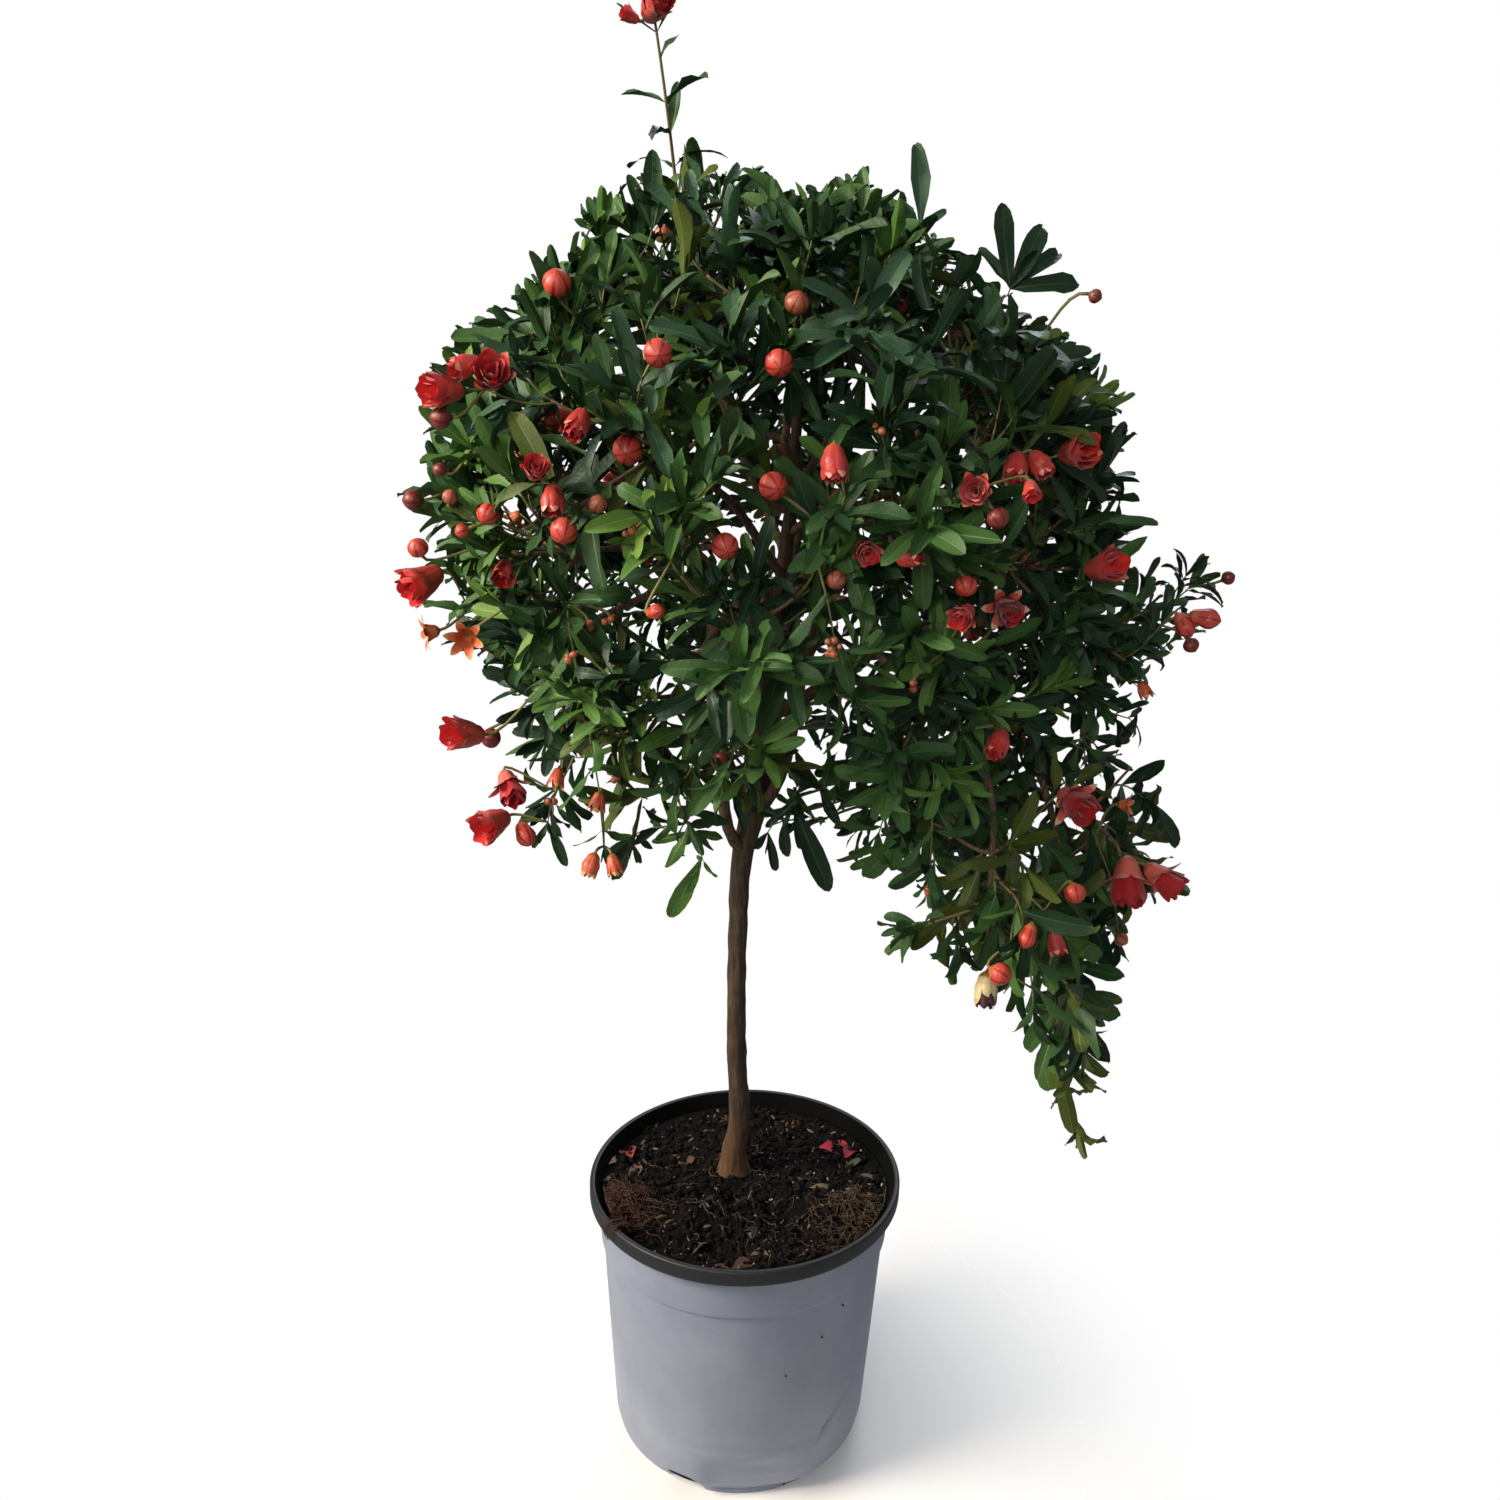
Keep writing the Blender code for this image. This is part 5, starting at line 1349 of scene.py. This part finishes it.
def makeSpecks():
    # specks of dirt, each half sunk where its sight line, followed in small steps, meets the wall
    slope = (potShape["collar"] - potShape["base"]) / potShape["height"]
    lines = []
    for ray in sightRays(speckShape["pixels"]):
        places = eye + ray * np.linspace(*speckShape["depths"])[:, None]
        wall = potShape["base"] - speckShape["sunk"] + slope * places[:, 2]
        spot = places[np.argmax(np.hypot(places[:, 0], places[:, 1]) < wall)]
        lines.append(spot + np.array(speckShape["line"]))
    radii = np.full((len(lines), 3), speckShape["radii"])
    points, faceSets = tubes(np.array(lines), radii, speckShape["sides"])
    dirt = newMaterial("Dried dirt, matt", "#2b2622", 0.9)  # dull specks that stand out dark on the grey
    addPiece("potSpecks", points, faceSets, [dirt])


makePot()
makeSpecks()

# Potting mix and what lies on it

soilShape = {
    "level": 0.211, "edge": 0.1112, "rows": 60, "sides": 220, "wallRoom": 0.012, "floorRoom": 0.0003,
    "bumps": ((0.0026, 3, 40), (0.0016, 7, -25)),  # height, waves round, degrees of turn per metre
    "roughness": ((0.0013, 0.013, 41), (0.0007, 0.005, 42)),  # height, size, seed
    "seed": 77,
}


def soilHeight(x, y):
    # heaps as in the source, and the mix's own roughness; both sink to nothing at the wall
    radius, angle = np.hypot(x, y), np.arctan2(y, x)
    heaps = sum(h * np.sin(waves * angle + turn * radius) for h, waves, turn in soilShape["bumps"])
    flat = np.stack([x, y, 0 * x], -1)
    rough = sum(height * waveNoise(flat, size, seed) for height, size, seed in soilShape["roughness"])
    heaps = heaps * (rampUp(radius, soilShape["edge"], -0.02) * rampUp(radius, 0, 0.03))
    return soilShape["level"] + heaps + rough * rampUp(radius, soilShape["edge"], -0.006)


def onSoil(pixels):
    # where the sight lines through these pixels meet the potting mix
    rays = sightRays(pixels)
    spots = eye + rays * ((soilShape["level"] + 0.002 - eye[2]) / rays[:, 2])[:, None]
    return spots[:, :2]


def makeSoil():
    # the mix turned round: up the wall, clear of its dents, and back over the top, whose height is soilHeight
    _, _, inside = potProfile()
    wall = inside[-2::-1] + (-soilShape["wallRoom"], soilShape["floorRoom"])
    start = [(potShape["middle"], potShape["floor"] + soilShape["floorRoom"])]
    top = np.linspace(soilShape["edge"], potShape["middle"], soilShape["rows"])
    profile = np.concatenate([start, wall, np.column_stack([top, 0 * top])])
    points, faceSets = turned(profile, soilShape["sides"])
    points[-len(top):, :, 2] = soilHeight(points[-len(top):, :, 0], points[-len(top):, :, 1])
    # moist bark and peat swallow the light, so the bed is dull and nearly black
    mix = newMaterial("Bark and peat potting mix, moist", "#070504", 0.95, 0.0016, 0.0008,
                      Specular_IOR_Level=0.15)
    addPiece("soilBed", points.reshape(-1, 3), faceSets, [mix], ("potting_mix",))


crumbKinds = {  # name: colour, how many, radius in mm, length over radius
    "black peat": ("#070504", 1000, (0.7, 2.4), (1.6, 3.0)),
    "dark bark": ("#0a0706", 750, (0.8, 2.8), (1.8, 4.0)),
    "brown bark": ("#1b110b", 260, (0.7, 2.4), (2.0, 5.0)),
    "tan chip": ("#5a4632", 180, (0.5, 1.5), (3.0, 7.0)),
    "grey chip": ("#6e675b", 130, (0.4, 1.3), (3.0, 7.0)),
    "perlite": ("#a8a59a", 60, (0.4, 1.0), (1.6, 2.2)),
    "moss": ("#1e2611", 110, (0.5, 1.3), (2.0, 4.0)),
}
fibreKinds = {  # name: colour, how many, pixel of the middle, spread in metres, height of the heap, length
    "coir clump": ("#3e2417", 300, (622, 1208), 0.0110, 0.013, 0.022),
    "olive roots": ("#453820", 190, (862, 1212), 0.0150, 0.005, 0.018),
    "brown roots": ("#3c2617", 110, (850, 1238), 0.0140, 0.005, 0.018),
    "loose roots": ("#45362a", 70, (745, 1195), 0.0480, 0.002, 0.020),
}

crumbShape = {
    "sides": 5, "sunk": 0.35, "steepness": 0.35, "bow": 0.25,  # shares of the radius, but for the steepness
    "thinnest": (0.35, 0.8, 0.25), "thickest": (0.8, 1.1, 0.7),  # radii of the three rings
}
fibreShape = {
    "points": 8, "sides": 4, "radii": (0.00042, 0.00018), "wander": 0.55, "lift": 0.0012, "arch": 0.0025,
}
rimFibres = {  # a few that hang over the rim: their course is radius and height from the rim's top
    "count": 14, "heading": 216, "spread": 3.2, "wander": 0.010, "stretch": (0.35, 1.1),
    "course": ((0.100, -0.009), (0.108, 0.000), (0.1145, 0.0018), (0.1185, 0.0022),
               (0.1212, 0.0004), (0.1222, -0.0035), (0.1222, -0.0075), (0.1218, -0.0115)),
}


def makeCrumbs():
    # crumbs and chips: short tubes of three rings, flat shaded, that lie any way round
    draw = np.random.default_rng(soilShape["seed"])
    lines, radii, tones = [], [], []
    for tone, (_, count, size, stretch) in enumerate(crumbKinds.values()):
        radius = draw.uniform(*size, count) / 1000
        half = radius * draw.uniform(*stretch, count) / 2
        angle = draw.uniform(0, 2 * np.pi, count)
        away = np.sqrt(draw.uniform(0.02, 1, count)) * (soilShape["edge"] - 0.001) - half - radius
        x, y = away * np.cos(angle), away * np.sin(angle)
        centre = np.stack([x, y, soilHeight(x, y) + radius * crumbShape["sunk"]], -1)
        way = unit(draw.normal(size=(count, 3)) * (1, 1, crumbShape["steepness"]))
        bow = draw.normal(size=(count, 3)) * radius[:, None] * crumbShape["bow"]
        ends = way * half[:, None]
        lines.append(np.stack([centre - ends, centre + bow, centre + ends], 1))
        rings = draw.uniform(crumbShape["thinnest"], crumbShape["thickest"], (count, 3))
        radii.append(radius[:, None] * rings)
        tones.append(np.full(count, tone))
    lines, radii, tones = (np.concatenate(parts) for parts in (lines, radii, tones))
    points, faceSets = tubes(lines, radii, crumbShape["sides"])
    # composted bark, peat, grit and moss are all dull; only their colours set them apart
    materials = [newMaterial(f"Potting mix, {name}", colour, 0.92, Specular_IOR_Level=0.2)
                 for name, (colour, *_) in crumbKinds.items()]
    addPiece("soilCrumbs", points, faceSets, materials, (),
             tubeTones(tones, 3, crumbShape["sides"]), smooth=False)


def makeFibres():
    # tangled roots and coir: thin bent tubes round the middle of each heap, and those over the rim
    draw = np.random.default_rng(soilShape["seed"] + 1)
    steps = fibreShape["points"]
    lines, tones = [], []
    for tone, (_, count, pixel, spread, heap, length) in enumerate(fibreKinds.values()):
        middle = onSoil([pixel])[0]
        spot = middle + draw.normal(size=(count, 2)) * spread
        rise = draw.uniform(0, 1, count) * heap * np.exp(-((spot - middle) ** 2).sum(1) / (2 * spread**2))
        turn = draw.uniform(0, 2 * np.pi, (count, 1))
        turn = turn + np.cumsum(draw.normal(0, fibreShape["wander"], (count, steps)), axis=1)
        step = length * draw.uniform(0.5, 1.2, (count, 1)) / steps
        x = spot[:, :1] + np.cumsum(np.cos(turn) * step, axis=1)
        y = spot[:, 1:] + np.cumsum(np.sin(turn) * step, axis=1)
        inside = np.minimum(1, (soilShape["edge"] - 0.0015) / np.hypot(x, y))
        x, y = x * inside, y * inside
        arch = fibreShape["arch"] * np.sin(np.pi * np.linspace(0, 1, steps)) * draw.uniform(0, 1, (count, 1))
        lines.append(np.stack([x, y, soilHeight(x, y) + rise[:, None] + (fibreShape["lift"] + arch)], -1))
        tones.append(np.full(count, tone))
    count = rimFibres["count"]
    angle = np.radians(draw.normal(rimFibres["heading"], rimFibres["spread"], count))
    away, hang = np.array(rimFibres["course"]).T
    stretch = draw.uniform(*rimFibres["stretch"], (count, 1))
    bend = angle[:, None] + draw.normal(0, rimFibres["wander"], (count, len(away))).cumsum(1)
    drop = potShape["height"] + np.where((hang < 0) & (away >= potShape["rim"]), hang * stretch, hang)
    lines.append(np.stack([away * np.cos(bend), away * np.sin(bend), drop], -1))
    tones.append(np.zeros(count, int))
    lines, tones = np.concatenate(lines), np.concatenate(tones)
    radii = np.linspace(*fibreShape["radii"], steps)[None] * draw.uniform(0.6, 1.5, (len(lines), 1))
    points, faceSets = tubes(lines, radii, fibreShape["sides"])
    # roots and coir are dry and matt, so the heaps look soft and dull
    materials = [newMaterial(f"Dry root fibre, {name}", colour, 0.85)
                 for name, (colour, *_) in fibreKinds.items()]
    addPiece("soilFibres", points, faceSets, materials, (),
             tubeTones(tones, steps, fibreShape["sides"]))


litter = (  # pixel, length in mm, slenderness, heading in degrees, colour
    ((832, 1147), 22, 0.80, 10, "#b3122c"), ((850, 1150), 20, 0.85, 60, "#8e1022"),
    ((842, 1143), 15, 0.75, 150, "#a81426"), ((772, 1114), 24, 0.30, -8, "#b9bd8a"),
    ((616, 1156), 26, 0.60, 60, "#a08a7a"), ((628, 1150), 19, 0.75, 110, "#8a2a28"),
    ((618, 1178), 27, 0.45, 15, "#7c7068"), ((634, 1172), 22, 0.40, 70, "#5a4234"),
    ((742, 1260), 17, 0.70, 30, "#43261a"), ((764, 1248), 22, 0.40, 25, "#5a4534"),
    ((722, 1264), 16, 0.50, 170, "#3f2018"), ((872, 1175), 20, 0.40, -20, "#3d4a35"),
    ((852, 1162), 17, 0.35, 30, "#33422c"), ((866, 1192), 15, 0.45, 140, "#7d4a34"),
    ((700, 1245), 19, 0.35, 60, "#4d3a2a"), ((655, 1120), 20, 0.30, 100, "#3a2d22"),
    ((708, 1215), 17, 0.22, 40, "#8d7d66"), ((820, 1190), 17, 0.32, 10, "#6a5c44"),
    ((690, 1160), 16, 0.38, 75, "#5e3a2e"),
)
litterShape = {"lift": 0.0022, "steepness": 0.18, "tilt": 0.22, "fold": 12}


def makeLitter():
    # fallen petals and leaves, limp and dull: the leaf's own form, broader for petals, lying on the mix
    draw = np.random.default_rng(soilShape["seed"] + 2)
    parts, tones, materials = [], [], []
    faces = gridFaces(1, len(leafRows), 4)
    for k, (pixel, length, slenderness, heading, colour) in enumerate(litter):
        x, y = onSoil([pixel])[0]
        turn = math.radians(heading)
        way = np.array([math.cos(turn), math.sin(turn), litterShape["steepness"]])
        root = np.array([[x, y, soilHeight(x, y) + litterShape["lift"]]]) - way * length / 2000
        face = unit(np.array([[0, 0, 1.0]]) + draw.normal(size=(1, 3)) * litterShape["tilt"])
        points = leafPoints(root, unit(way)[None], face, np.array([length / 1000]), draw, slenderness,
                            litterShape["fold"])
        parts.append((points[0], [faces]))
        tones.append(np.full(len(faces), k))
        materials.append(newMaterial(f"Fallen leaf or petal {k + 1}, limp", colour, 0.7))
    points, faceSets = joined(parts)
    addPiece("litter", points, faceSets, materials, (), np.concatenate(tones))


makeSoil()
makeCrumbs()
makeFibres()
makeLitter()

bpy.context.view_layer.update()
